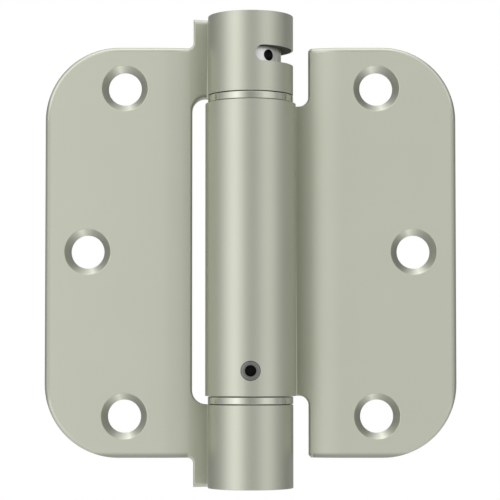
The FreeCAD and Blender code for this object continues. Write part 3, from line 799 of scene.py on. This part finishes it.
def rolled_sheet(sizes, name, side, reach, knuckle, low, high):
    """One sheet, laid flat, folded back and rolled round the pin axis, then drawn out upwards."""
    face = sizes.closed_gap / 2
    bore = knuckle - sizes.sheet
    lean = sizes.fold_angle
    start = fold_start(sizes, bore)
    select_none()
    middle = (side * (reach + start) / 2, face + sizes.sheet / 2, low)
    bpy.ops.mesh.primitive_plane_add(size=1, location=middle)
    bpy.ops.transform.resize(value=(reach - start, sizes.sheet, 1))
    sheet = name_piece(settle(bpy.context.object), name)

    edit(sheet)
    pick("edges", each(lambda point: near(point.x, side * start)))
    spin(-side * lean, FOLD_STEPS, centre=(side * start, face + sizes.fold_radius, low))
    fold_end = Vector((
        start - sizes.fold_radius * math.sin(lean),
        face + sizes.fold_radius - sizes.fold_radius * math.cos(lean),
    ))
    tangent = Vector((bore * math.sin(lean), bore * math.cos(lean)))
    slope = tangent - fold_end
    lip_start = knuckle + sizes.seam_lip
    lip_end = knuckle - LIP_OVERLAP
    reached = fold_end.x
    for stop in (lip_start, lip_end, lip_end - LIP_DROP, tangent.x):
        share = (reached - stop) / (fold_end.x - tangent.x)
        push((side * slope.x * share, slope.y * share, 0))
        reached = stop
    wrap = FULL_TURN - math.acos((bore - sizes.roll_seam) / knuckle)
    spin(side * wrap, ROLL_STEPS)
    raise_lip(sizes, side, bore, lip_start, lip_end)
    pick_all()
    push((0, 0, high - low))
    tidy_mesh()
    leave_edit()
    return sheet


def raise_lip(sizes, side, bore, lip_start, lip_end):
    """Lifts one line of the slope's front face, so that a narrow lip faces the front."""
    lean = sizes.fold_angle

    def at_end(point):
        out = side * point.x * math.sin(lean) + point.y * math.cos(lean)
        return near(side * point.x, lip_end) and near(out, bore)

    bpy.ops.mesh.select_mode(type="VERT")
    pick("verts", each(at_end))
    bpy.ops.transform.translate(value=(0, -(lip_start - lip_end) * math.tan(lean), 0))
    bpy.ops.mesh.select_mode(type="EDGE")


def on_level(z, x_from, x_to):
    """A level stretch of an outline, seen from the front; x counts away from the pin axis."""
    return lambda x, height: near(height, z) and x_from - CLOSE < x < x_to + CLOSE


def on_upright(x_at, z_from, z_to):
    low, high = sorted((z_from, z_to))
    return lambda x, height: near(x, x_at) and low - CLOSE < height < high + CLOSE


def on_arc(x_at, z_at, radius, outwards, upwards):
    """A quarter of a circle in an outline, on the side of its centre that the two signs say."""
    def test(x, height):
        right_side = (x - x_at) * outwards > -CLOSE and (height - z_at) * upwards > -CLOSE
        return right_side and near(math.hypot(x - x_at, height - z_at), radius)
    return test


def along_arc(x_at, z_at, upright, flat):
    """A share of rounding that changes along a quarter circle, from upright end to level end."""
    def share(middle):
        turn = math.atan2(abs(middle.z - z_at), abs(abs(middle.x) - x_at))
        return upright + (flat - upright) * turn / QUARTER
    return share


def on_slant(x_at, z_at, reach):
    """The bevel of an outer corner, above and below."""
    def test(x, height):
        return near(abs(height) - z_at, x - x_at) and x_at - CLOSE < x < x_at + reach + CLOSE
    return test


def skin_edges(sizes, side, bore, at_back, stretches):
    """A test for edges on one face of a sheet that run along given stretches of its outline."""
    depth = sizes.sheet if at_back else 0.0
    face = sizes.closed_gap / 2
    lean = sizes.fold_angle
    start = fold_start(sizes, bore)
    radius = sizes.fold_radius
    arc_end = start - (radius - depth) * math.sin(lean)

    def on_skin(point):
        x = point.x * side
        if x > start - CLOSE:
            return near(point.y, face + depth)
        if x > arc_end - CLOSE:
            far = math.hypot(x - start, point.y - face - radius)
            return near(far, radius - depth)
        return near(x * math.sin(lean) + point.y * math.cos(lean), bore + depth)

    def wanted(points):
        flat = [(point.x * side, point.z) for point in points]
        return all(on_skin(point) for point in points) and any(
            all(stretch(x, z) for x, z in flat) for stretch in stretches
        )

    return wanted


def outer_rim(sizes, reach, inner_reach):
    """The stretches round the outside of a leaf, from one inner corner to the other."""
    top = sizes.leaf_height / 2
    corner = sizes.corner
    stretches = [on_upright(reach, corner - top, top - corner)]
    for up in (1, -1):
        stretches.append(on_level(up * top, inner_reach, reach - corner))
        stretches.append(on_arc(reach - corner, up * (top - corner), corner, 1, up))
    return stretches


def round_rims(sizes, leaf, side, bore, marks, back):
    """Rounds a leaf's front edges, each by its share of the rim's rounding, and its back rim."""
    for stretches, share in marks:
        mark_edges(leaf, skin_edges(sizes, side, bore, False, stretches), share)
    back_share = sizes.back_rim / sizes.rim
    mark_edges(leaf, skin_edges(sizes, side, bore, True, back), back_share)
    round_marked(leaf, sizes.rim)


def countersink_cutter(sizes, x, z):
    """The shape of a flat-headed screw, open at the front."""
    face = sizes.closed_gap / 2
    hole = sizes.screw_hole / 2
    mouth = sizes.countersink / 2
    spare = sizes.sheet
    flare = mouth - hole + spare / 4
    select_none()
    bpy.ops.mesh.primitive_circle_add(
        vertices=SCREW_HOLE_STEPS,
        radius=hole,
        fill_type="NGON",
        location=(x, face + sizes.sheet + spare, z),
        rotation=(QUARTER, 0, 0),
    )
    cutter = settle(bpy.context.object)
    edit(cutter, "FACE")
    pick_all()
    push((0, -(sizes.sheet + spare - (mouth - hole)), 0))
    push((0, -flare, 0))
    grow = (hole + flare) / hole
    bpy.ops.transform.resize(value=(grow, grow, grow), center_override=(x, face - spare / 4, z))
    tidy_mesh()
    leave_edit()
    return cutter


def drill_screw_holes(sizes, leaf, side):
    half = sizes.screw_spacing / 2
    face = sizes.closed_gap / 2
    mouth = sizes.countersink / 2
    outer = side * sizes.outer_screw
    places = [(outer, half), (side * sizes.middle_screw, 0.0), (outer, -half)]
    for x, z in places:
        cut(leaf, countersink_cutter(sizes, x, z))
    for x, z in places:
        at_mouth = each(
            lambda point: near(point.y, face) and near(off_line(point, x, z), mouth, 2 * CLOSE)
        )
        round_edges(leaf, at_mouth, sizes.hole_edge, FINE_EDGE_STEPS)
    paint_fan_highlights(sizes, leaf, places)


def paint_fan_highlights(sizes, leaf, places):
    """Marks the countersinks for a painted highlight, strongest in two narrow fans where turning
    marks would catch the light.
    """
    turned = leaf.data.attributes.new("turned", "FLOAT", "CORNER")
    points = leaf.data.vertices
    inner = sizes.countersink / 2 - CLOSE
    for face in leaf.data.polygons:
        spots = [points[i].co for i in face.vertices]
        for x, z in places:
            if not all(off_line(spot, x, z) < inner for spot in spots):
                continue
            for corner, spot in zip(face.loop_indices, spots):
                turn = math.atan2(spot.x - x, spot.z - z) + FAN_LEAN
                off_fan = (turn + QUARTER) % math.pi - QUARTER
                fan = math.exp(-abs(off_fan / FAN_WIDTH) ** FAN_FALL)
                turned.data[corner].value = BETWEEN_FANS + (1 - BETWEEN_FANS) * fan


def cutter_with_rounded_edges(low, high, corners, radius):
    """A block whose edges along Y at the given (x, z) places are rounded."""
    cutter = block(low, high)
    at_corner = [each(lambda p, x=x, z=z: near(p.x, x) and near(p.z, z)) for x, z in corners]
    round_edges(
        cutter, lambda points: any(test(points) for test in at_corner), radius, CUTTER_STEPS
    )
    return cutter


def slot_cutters(sizes):
    """The band and the two round ends of the adjusting slot."""
    half = sizes.slot_height / 2
    lift = Vector((0, 0, slot_level(sizes)))
    knuckle = sizes.end_knuckle
    deep = knuckle - SPARE * sizes.sheet
    proud = knuckle + sizes.sheet
    round_end = half / knuckle
    first = sizes.slot_start + round_end
    last = sizes.slot_end - round_end
    out = right_of_front(first)
    middle = out * (deep + proud) / 2 + lift
    band = card(middle, out * (proud - deep), (0, 0, sizes.slot_height))
    edit(band)
    spin_outline(last - first, SLOT_STEPS)
    pick_all()
    bpy.ops.mesh.fill_holes(sides=4)
    tidy_mesh()
    leave_edit()
    ways = [right_of_front(turn) for turn in (first, last)]
    return [band, *(rod(way * deep + lift, way * proud + lift, half, PEG_STEPS) for way in ways)]


class HINGE_OT_frame_leaf(bpy.types.Operator):
    """Rolls and cuts the left leaf with its top and bottom knuckles and the adjusting slot"""

    bl_idname = "hinge.frame_leaf"
    bl_label = "Frame Leaf"

    def execute(self, context):
        sizes = context.scene.hinge_sizes
        side = -1
        reach = sizes.frame_reach
        top = sizes.leaf_height / 2
        knuckle = sizes.end_knuckle
        bore = knuckle - sizes.sheet
        barrel = FRAME_HIGH.z
        tab, window = -sizes.tab_reach, -sizes.window_reach
        wide = knuckle * SPARE
        leaf = rolled_sheet(sizes, "frame_leaf_sheet", side, reach, knuckle, -barrel, barrel)
        for up in (1, -1):
            low, high = sorted((up * top, up * barrel * SPARE))
            cut(leaf, cutter_with_rounded_edges(
                (-reach * SPARE, -wide, low), (tab, wide, high),
                [(tab, up * top)], sizes.tab_fillet,
            ))
        cut(leaf, cutter_with_rounded_edges(
            (window, -wide, BOTTOM_KNUCKLE_ROOF), (wide, wide, TOP_KNUCKLE_FLOOR),
            [(window, TOP_KNUCKLE_FLOOR), (window, BOTTOM_KNUCKLE_ROOF)], sizes.window_corner,
        ))
        round_upright_corners(leaf, side * reach, top, sizes.corner, CORNER_STEPS)
        marks, back = self.rims(sizes, reach, bore)
        round_rims(sizes, leaf, side, bore, marks, back)
        round_ends(leaf, knuckle, sizes.knuckle_edge, barrel, -barrel)
        round_ends(leaf, bore, sizes.knuckle_edge * BORE_EDGE_SHARE, barrel, -barrel)
        round_ends(leaf, knuckle, sizes.knuckle_edge, TOP_KNUCKLE_FLOOR, BOTTOM_KNUCKLE_ROOF)
        drill_screw_holes(sizes, leaf, side)
        for cutter in slot_cutters(sizes):
            cut(leaf, cutter)
        self.soften_slot(sizes, leaf)
        complete(leaf, "frame_leaf", "frame", "satin_nickel_frame")
        return {"FINISHED"}

    def rims(self, sizes, reach, bore):
        """The outer rim, the tabs and the window's upper edge in full, and other edges less."""
        top = sizes.leaf_height / 2
        barrel = FRAME_HIGH.z
        tab, fillet = sizes.tab_reach, sizes.tab_fillet
        window, corner = sizes.window_reach, sizes.window_corner
        seam = sizes.end_knuckle + sizes.seam_lip
        in_roll = bore * math.sin(sizes.fold_angle)
        rim = outer_rim(sizes, reach, tab + fillet)
        low_arc, high_arc = BOTTOM_KNUCKLE_ROOF + corner, TOP_KNUCKLE_FLOOR - corner
        outside = [*rim, on_level(TOP_KNUCKLE_FLOOR, seam, window - corner)]
        beside = [on_upright(window, low_arc, high_arc)]
        hidden = [on_level(TOP_KNUCKLE_FLOOR, in_roll, seam)]
        arcs = [
            (window - corner, high_arc, corner, 1, 1, 1.0),
            (window - corner, low_arc, corner, 1, -1, FADED),
        ]
        for up in (1, -1):
            arcs.append((tab + fillet, up * (top + fillet), fillet, -1, -up, 1.0))
            outside.append(on_level(up * barrel, seam, tab))
            beside.append(on_upright(tab, up * (top + fillet), up * barrel))
            hidden.append(on_level(up * barrel, in_roll, seam))
        less = sizes.inner_rim / sizes.rim
        marks = [(outside, 1.0), (beside, less), (hidden, sizes.hidden_rim / sizes.rim)]
        for x, z, radius, outwards, upwards, flat in arcs:
            arc = on_arc(x, z, radius, outwards, upwards)
            marks.append(([arc], along_arc(x, z, less, flat)))
        return marks, rim

    def soften_slot(self, sizes, leaf):
        """Breaks the slot's outer edge."""
        middle = slot_level(sizes)
        half = sizes.slot_height / 2

        def on_slot(point):
            inside = abs(point.z - middle) < half + CLOSE
            return inside and near(around(point), sizes.end_knuckle, 2 * CLOSE) and point.x > 0

        round_edges(leaf, each(on_slot), sizes.slot_edge, FINE_EDGE_STEPS)


class HINGE_OT_door_leaf(bpy.types.Operator):
    """Rolls and cuts the right leaf with its long middle knuckle"""

    bl_idname = "hinge.door_leaf"
    bl_label = "Door Leaf"

    def execute(self, context):
        sizes = context.scene.hinge_sizes
        side = 1
        reach = sizes.door_reach
        notch = sizes.notch_reach
        top = sizes.leaf_height / 2
        knuckle = sizes.middle_knuckle
        bore = knuckle - sizes.sheet
        wide = knuckle * SPARE
        leaf = rolled_sheet(sizes, "door_leaf_sheet", side, reach, knuckle, -top, top)
        for edge_level, end in ((MIDDLE_KNUCKLE_ROOF, top), (MIDDLE_KNUCKLE_FLOOR, -top)):
            low, high = sorted((edge_level, end * SPARE))
            cut(leaf, cutter_with_rounded_edges(
                (-wide, -wide, low), (notch, wide, high),
                [(notch, edge_level)], sizes.notch_corner,
            ))
        round_upright_corners(leaf, notch, top, sizes.notch_lip, 1)
        round_upright_corners(leaf, side * reach, top, sizes.corner, CORNER_STEPS)
        marks, back = self.rims(sizes, reach, bore)
        round_rims(sizes, leaf, side, bore, marks, back)
        round_ends(leaf, knuckle, sizes.knuckle_edge, MIDDLE_KNUCKLE_ROOF, MIDDLE_KNUCKLE_FLOOR)
        drill_screw_holes(sizes, leaf, side)
        hole = (PIN_HIGH.z - PIN_LOW.z) / 2 + sizes.pin_clearance
        before, behind = (0, -wide, PIN_LEVEL), (0, PIN_HIGH.y + PIN_SPARE, PIN_LEVEL)
        cut(leaf, rod(before, behind, hole, PIN_STEPS))
        at_mouth = each(
            lambda point: near(off_line(point, 0, PIN_LEVEL), hole, 2 * CLOSE)
            and near(around(point), knuckle, 2 * CLOSE)
        )
        round_edges(leaf, at_mouth, sizes.pin_hole_edge, FINE_EDGE_STEPS)
        complete(leaf, "door_leaf", "door", "satin_nickel_door")
        return {"FINISHED"}

    def rims(self, sizes, reach, bore):
        """The outer rim in full and the edges of the notches less."""
        top = sizes.leaf_height / 2
        notch, corner, lip = sizes.notch_reach, sizes.notch_corner, sizes.notch_lip
        seam = sizes.middle_knuckle + sizes.seam_lip
        in_roll = bore * math.sin(sizes.fold_angle)
        arc_x = notch - corner
        low_arc, high_arc = MIDDLE_KNUCKLE_FLOOR - corner, MIDDLE_KNUCKLE_ROOF + corner
        less = sizes.inner_rim / sizes.rim
        outside = outer_rim(sizes, reach, notch + lip)
        beside = [
            on_upright(notch, high_arc, top - lip),
            on_upright(notch, lip - top, low_arc),
            on_arc(arc_x, low_arc, corner, 1, 1),
            on_level(MIDDLE_KNUCKLE_FLOOR, seam, arc_x),
        ]
        hidden = [on_level(MIDDLE_KNUCKLE_FLOOR, in_roll, seam)]
        marks = [
            (outside, 1.0),
            ([on_slant(notch, top - lip, lip)], SLANT_SHARE),
            (beside, less),
            ([on_arc(arc_x, high_arc, corner, 1, -1)], along_arc(arc_x, high_arc, less, FADED)),
            (hidden, sizes.hidden_rim / sizes.rim),
        ]
        return marks, outside


# Turned pieces


def turned_ring(name, inner, outer, low, high, crown):
    """A ring spun from an oblong section whose outer corners are rounded."""
    middle = Vector(((inner + outer) / 2, 0, (low + high) / 2))
    ring = name_piece(card(middle, (outer - inner, 0, 0), (0, 0, high - low)), name)
    edit(ring, "VERT")
    pick("verts", each(lambda point: near(point.x, outer)))
    bpy.ops.mesh.bevel(offset=crown, segments=RIM_STEPS, profile=0.5, affect="VERTICES")
    spin_outline(FULL_TURN, TURNED_STEPS)
    tidy_mesh()
    leave_edit()
    return ring


class HINGE_OT_bearing_washers(bpy.types.Operator):
    """Turns the two bright washers between the knuckles"""

    bl_idname = "hinge.bearing_washers"
    bl_label = "Bearing Washers"

    def execute(self, context):
        sizes = context.scene.hinge_sizes
        bore = sizes.end_knuckle - sizes.sheet
        for node in ("upper_bearing_washer", "lower_bearing_washer"):
            low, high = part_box(node)
            ring = turned_ring(node + "_ring", bore, high.x, low.z, high.z, sizes.ring_crown)
            complete(ring, node, "frame", "polished_ring")
        return {"FINISHED"}


class HINGE_OT_tension_adjuster(bpy.types.Operator):
    """Turns the tension adjuster and cuts its wrench socket and peg holes"""

    bl_idname = "hinge.tension_adjuster"
    bl_label = "Tension Adjuster"

    def execute(self, context):
        sizes = context.scene.hinge_sizes
        radius = ADJUSTER_HIGH.x
        bottom, top = ADJUSTER_LOW.z, ADJUSTER_HIGH.z
        plug = upright_rod(bottom, top, radius, TURNED_STEPS)
        name_piece(plug, "tension_adjuster_plug")
        round_ends(plug, radius, sizes.plug_edge, top)
        corners = sizes.wrench_flats / math.sqrt(3)
        cut(plug, upright_rod(top - sizes.wrench_depth, top + ROD_SPARE, corners, 6))
        lift = Vector((0, 0, slot_level(sizes)))
        hole = sizes.peg_hole / 2
        for k in range(sizes.peg_count):
            out = right_of_front(sizes.peg_angle + FULL_TURN * k / sizes.peg_count)
            deep, proud = out * (radius - sizes.peg_depth), out * (radius + ROD_SPARE)
            cut(plug, rod(deep + lift, proud + lift, hole, PEG_STEPS))
        at_mouth = each(
            lambda point: near(around(point), radius, 3 * CLOSE)
            and abs(point.z - lift.z) < hole + CLOSE
        )
        round_edges(plug, at_mouth, sizes.peg_edge, FINE_EDGE_STEPS)
        seat_end = bottom + sizes.arbor_seat
        cut(plug, upright_rod(bottom - ROD_SPARE, seat_end, sizes.arbor_bore, PIN_STEPS))
        complete(plug, "tension_adjuster", "adjuster", "zinc_plug")
        return {"FINISHED"}


class HINGE_OT_anchor_roll_pin(bpy.types.Operator):
    """Rolls the tubular pin near the foot of the middle knuckle"""

    bl_idname = "hinge.anchor_roll_pin"
    bl_label = "Anchor Roll Pin"

    def execute(self, context):
        sizes = context.scene.hinge_sizes
        outer = PIN_HIGH.x
        inner = outer - sizes.pin_wall
        centre = Vector((0, PIN_LOW.y, PIN_LEVEL))
        wall = centre + Vector((0, 0, (outer + inner) / 2))
        pin = name_piece(card(wall, (0, 0, outer - inner), (0, 0, 0)), "anchor_roll_pin_tube")
        edit(pin)
        tidy_mesh()
        pick("edges", lambda points: (points[0] - points[1]).length > CLOSE)
        spin(-FULL_TURN, PIN_STEPS, centre=centre, axis=(0, -1, 0))
        pick_all()
        bpy.ops.mesh.remove_doubles(threshold=DOUBLE)
        push((0, PIN_HIGH.y - PIN_LOW.y, 0))
        tidy_mesh()
        leave_edit()
        for end in (PIN_LOW.y, PIN_HIGH.y):
            at_end = each(lambda p: near(p.y, end) and near(off_line(p, 0, PIN_LEVEL), outer))
            round_edges(pin, at_end, sizes.pin_bevel)
        complete(pin, "anchor_roll_pin", "door", "dark_pin")
        return {"FINISHED"}


class HINGE_OT_bottom_cap(bpy.types.Operator):
    """Presses the cap that closes the bottom knuckle"""

    bl_idname = "hinge.bottom_cap"
    bl_label = "Bottom Cap"

    def execute(self, context):
        sizes = context.scene.hinge_sizes
        cap = upright_rod(CAP_LOW.z, CAP_HIGH.z, CAP_HIGH.x, CAP_STEPS)
        name_piece(cap, "bottom_cap_disc")
        edit(cap, "FACE")
        pick("faces", each(lambda point: near(point.z, CAP_LOW.z)))
        bpy.ops.mesh.inset(thickness=sizes.cap_border)
        bpy.ops.mesh.inset(thickness=sizes.cap_slope, depth=-sizes.cap_dish)
        leave_edit()
        round_ends(cap, CAP_HIGH.x, sizes.cap_edge, CAP_LOW.z)
        complete(cap, "bottom_cap", "frame", "satin_nickel_frame")
        return {"FINISHED"}


class HINGE_OT_inner_parts(bpy.types.Operator):
    """Gives the pieces inside the barrel their finishes"""

    bl_idname = "hinge.inner_parts"
    bl_label = "Inner Parts"

    def execute(self, context):
        finishes = {
            "torsion_spring": "wound_spring",
            "spring_arbor": "drawn_arbor",
            "anchor_plug": "oiled_plug",
            "upper_barrel_sleeve": "nylon_sleeve",
            "lower_barrel_sleeve": "nylon_sleeve",
            "journal_sleeve": "nylon_sleeve",
        }
        for node, name in finishes.items():
            give_finish(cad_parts[node], name)
        return {"FINISHED"}


# Studio

# The camera: where it stands and looks, how wide a field it sees there, and its upward shift
CAMERA_PLACE = Vector((-0.12, -418.3, -25.3)) * MM
CAMERA_AIM = Vector((-0.12, 0, -7.86)) * MM
CAMERA_VIEW = 107.71 * MM
CAMERA_SHIFT = 0.0758
CAMERA_CLIP = 10 * MM

LAMP_PLACE = Vector((-0.5, -0.7, 0.8))
LAMP_SIZE = 0.6
LAMP_POWER = 4.0

FLOOR_LEVEL = -0.6
FLOOR_SIZE = 6
FLOOR_TONE = (0.9, 0.9, 0.9)
FLOOR_GLOW = 0.85
FLOOR_ROUGHNESS = 0.8

# The shares of a panel and of the wall over which they thin out, across and up
PANEL_FEATHER = (0.25, 0.25)
WALL_FEATHER = (0.001, 0.12)

# How many degrees of elevation the wall covers, and its parts across and up
WALL_HEIGHT = 150
WALL_PARTS = (72, 16)

# Azimuth in degrees, positive to the right, and the share of the wall's greatest brightness
WALL_LEVELS = (
    (-180, 0.30), (-150, 0.22), (-125, 0.22), (-105, 0.295), (-89, 0.34), (-75, 0.50),
    (-62, 0.71), (-50, 0.88), (-38, 1.0), (-27, 0.775), (-16, 0.515), (-5, 0.335),
    (5, 0.325), (16, 0.40), (27, 0.52), (38, 0.68), (50, 0.655), (62, 0.555),
    (75, 0.35), (89, 0.335), (106, 0.16), (126, 0.255), (150, 0.23), (180, 0.30),
)


def show_blend(tree, share, first, second):
    """Shows the second shader by a share, and the first one for the rest."""
    blend = tree.nodes.new("ShaderNodeMixShader")
    for socket, value in zip(blend.inputs, (share, first.outputs[0], second.outputs[0])):
        feed(tree, socket, value)
    feed(tree, tree.nodes["Material Output"].inputs["Surface"], blend.outputs[0])


def seen_by_eye(tree):
    """White for what the camera sees straight, and in metal or through glass."""
    path = tree.nodes.new("ShaderNodeLightPath").outputs
    seen = maths(tree, "MAXIMUM", path["Is Camera Ray"], path["Is Glossy Ray"])
    return maths(tree, "MAXIMUM", seen, path["Is Transmission Ray"])


def glow(name, brightness, feather):
    """A material as bright as it says, whatever lights it, that thins out towards its edges.

    It also gives the socket of its colour and the one that says how far across a spot is.
    """
    material, tree, shader = new_material(name)
    tree.nodes.remove(shader)
    emission = tree.nodes.new("ShaderNodeEmission")
    feed(tree, emission.inputs["Color"], (1.0, 1.0, 1.0))
    feed(tree, emission.inputs["Strength"], brightness)
    across, up, _ = coordinates(tree, tree.nodes.new("ShaderNodeTexCoord").outputs["UV"])
    solid = 1.0
    for share, width in zip((across, up), feather):
        from_middle = maths(tree, "ABSOLUTE", maths(tree, "SUBTRACT", share, 0.5))
        inwards = maths(tree, "SUBTRACT", 0.5, from_middle)
        solid = maths(tree, "MULTIPLY", maths(tree, "DIVIDE", inwards, width, clamp=True), solid)
    show_blend(tree, solid, tree.nodes.new("ShaderNodeBsdfTransparent"), emission)
    return material, emission.inputs["Color"], across


def direction(azimuth, elevation):
    """From the hinge towards a place in the studio; azimuth 0 is the front, 90 the right."""
    a, e = math.radians(azimuth), math.radians(elevation)
    return Vector((math.sin(a) * math.cos(e), -math.cos(a) * math.cos(e), math.sin(e)))


def seen_in_reflections(thing, name, material):
    name_piece(thing, name)
    thing.data.materials.append(material)
    thing.visible_camera = False
    thing.visible_diffuse = False
    thing.visible_shadow = False


def wall_glow(brightness):
    """Makes the wall's glow follow WALL_LEVELS round the room."""
    material, colour, across = glow("wall_glow", brightness, WALL_FEATHER)
    ramp = material.node_tree.nodes.new("ShaderNodeValToRGB")
    ramp.color_ramp.interpolation = "CARDINAL"
    stops = ramp.color_ramp.elements
    while len(stops) < len(WALL_LEVELS):
        stops.new(1.0)
    for stop, (azimuth, share) in zip(stops, WALL_LEVELS):
        stop.position = (azimuth + 180) / 360
        stop.color = (share, share, share, 1.0)
    feed(material.node_tree, ramp.inputs[0], across)
    feed(material.node_tree, colour, ramp.outputs[0])
    return material


def light_wall(brightness):
    """A round wall, seen only in reflections, with soft boxes and grey cards in its glow."""
    select_none()
    across, up = WALL_PARTS
    bpy.ops.mesh.primitive_grid_add(x_subdivisions=across, y_subdivisions=up, size=1)
    thing = bpy.context.object
    for vertex in thing.data.vertices:
        vertex.co = direction(360 * vertex.co.x, WALL_HEIGHT * vertex.co.y)
    seen_in_reflections(thing, "light_wall", wall_glow(brightness))


def light_panel(name, brightness, centre, width, depth):
    """A level panel, seen only in reflections, that thins out towards its edges."""
    panel = card(centre, (width, 0, 0), (0, depth, 0))
    seen_in_reflections(panel, name, glow(name, brightness, PANEL_FEATHER)[0])


class HINGE_OT_studio(bpy.types.Operator):
    """Sets the camera, the white room, the soft boxes and the grey cards"""

    bl_idname = "hinge.studio"
    bl_label = "Studio"

    def execute(self, context):
        looks = context.scene.hinge_looks
        self.set_camera(context.scene)
        self.light_room(context.scene, looks)
        self.lay_floor()
        light_wall(looks.wall)
        light_panel("top_panel", looks.top_panel, centre=(0, -0.1, 0.85), width=1.8, depth=1.1)
        light_panel("low_panel", looks.low_panel, centre=(0, 0, -0.5), width=3, depth=3)
        return {"FINISHED"}

    def set_camera(self, scene):
        """The photo's view: from a little below the middle, on the pin axis, at arm's length."""
        sight = CAMERA_AIM - CAMERA_PLACE
        turn = sight.to_track_quat("-Z", "Y").to_euler()
        bpy.ops.object.camera_add(location=CAMERA_PLACE, rotation=turn)
        camera = bpy.context.object
        camera.name = "photo_camera"
        camera.data.lens = camera.data.sensor_width * sight.length / CAMERA_VIEW
        camera.data.shift_y = CAMERA_SHIFT
        camera.data.clip_start = CAMERA_CLIP
        scene.camera = camera

    def light_room(self, scene, looks):
        scene.world = bpy.data.worlds.new("white_room")
        scene.world.use_nodes = True
        tree = scene.world.node_tree
        fill = (looks.fill, looks.fill, looks.fill)
        room = mix_tones(tree, seen_by_eye(tree), fill, (1.0, 1.0, 1.0))
        feed(tree, tree.nodes["Background"].inputs["Color"], room)
        turn = (-LAMP_PLACE).to_track_quat("-Z", "Y").to_euler()
        bpy.ops.object.light_add(type="AREA", location=LAMP_PLACE, rotation=turn)
        lamp = bpy.context.object
        lamp.name = "soft_lamp"
        lamp.data.size = LAMP_SIZE
        lamp.data.energy = LAMP_POWER
        lamp.visible_camera = False
        lamp.visible_glossy = False

    def lay_floor(self):
        """A pale floor well below the hinge, which hangs in front of white paper."""
        select_none()
        bpy.ops.mesh.primitive_plane_add(size=FLOOR_SIZE, location=(0, 0, FLOOR_LEVEL))
        floor = bpy.context.object
        floor.name = "pale_floor"
        material, tree, shader = new_material("pale_floor")
        feed(tree, shader.inputs["Base Color"], FLOOR_TONE)
        feed(tree, shader.inputs["Roughness"], FLOOR_ROUGHNESS)
        glowing = maths(tree, "MULTIPLY", seen_by_eye(tree), FLOOR_GLOW)
        show_blend(tree, glowing, shader, tree.nodes.new("ShaderNodeEmission"))
        floor.data.materials.append(material)


STEPS = (
    HINGE_OT_frame_leaf,
    HINGE_OT_door_leaf,
    HINGE_OT_bearing_washers,
    HINGE_OT_tension_adjuster,
    HINGE_OT_anchor_roll_pin,
    HINGE_OT_bottom_cap,
    HINGE_OT_inner_parts,
    HINGE_OT_studio,
)


class HINGE_PT_panel(bpy.types.Panel):
    """Lists the hinge's pieces in the sidebar"""

    bl_idname = "HINGE_PT_panel"
    bl_label = "Spring Hinge"
    bl_space_type = "VIEW_3D"
    bl_region_type = "UI"
    bl_category = "Hinge"

    def draw(self, context):
        for step in STEPS:
            self.layout.operator(step.bl_idname)
        for group in (context.scene.hinge_sizes, context.scene.hinge_looks):
            column = self.layout.column()
            for name in group.__annotations__:
                column.prop(group, name)


CLASSES = (HingeSizes, HingeLooks, *STEPS, HINGE_PT_panel)


def register():
    for made in CLASSES:
        bpy.utils.register_class(made)
    bpy.types.Scene.hinge_sizes = PointerProperty(type=HingeSizes)
    bpy.types.Scene.hinge_looks = PointerProperty(type=HingeLooks)


def unregister():
    del bpy.types.Scene.hinge_looks
    del bpy.types.Scene.hinge_sizes
    for made in reversed(CLASSES):
        bpy.utils.unregister_class(made)


def main():
    register()
    bpy.context.scene.view_settings.view_transform = "Standard"
    bpy.ops.hinge.frame_leaf()
    bpy.ops.hinge.door_leaf()
    bpy.ops.hinge.bearing_washers()
    bpy.ops.hinge.tension_adjuster()
    bpy.ops.hinge.anchor_roll_pin()
    bpy.ops.hinge.bottom_cap()
    bpy.ops.hinge.inner_parts()
    bpy.ops.hinge.studio()


if __name__ == "__main__":
    main()
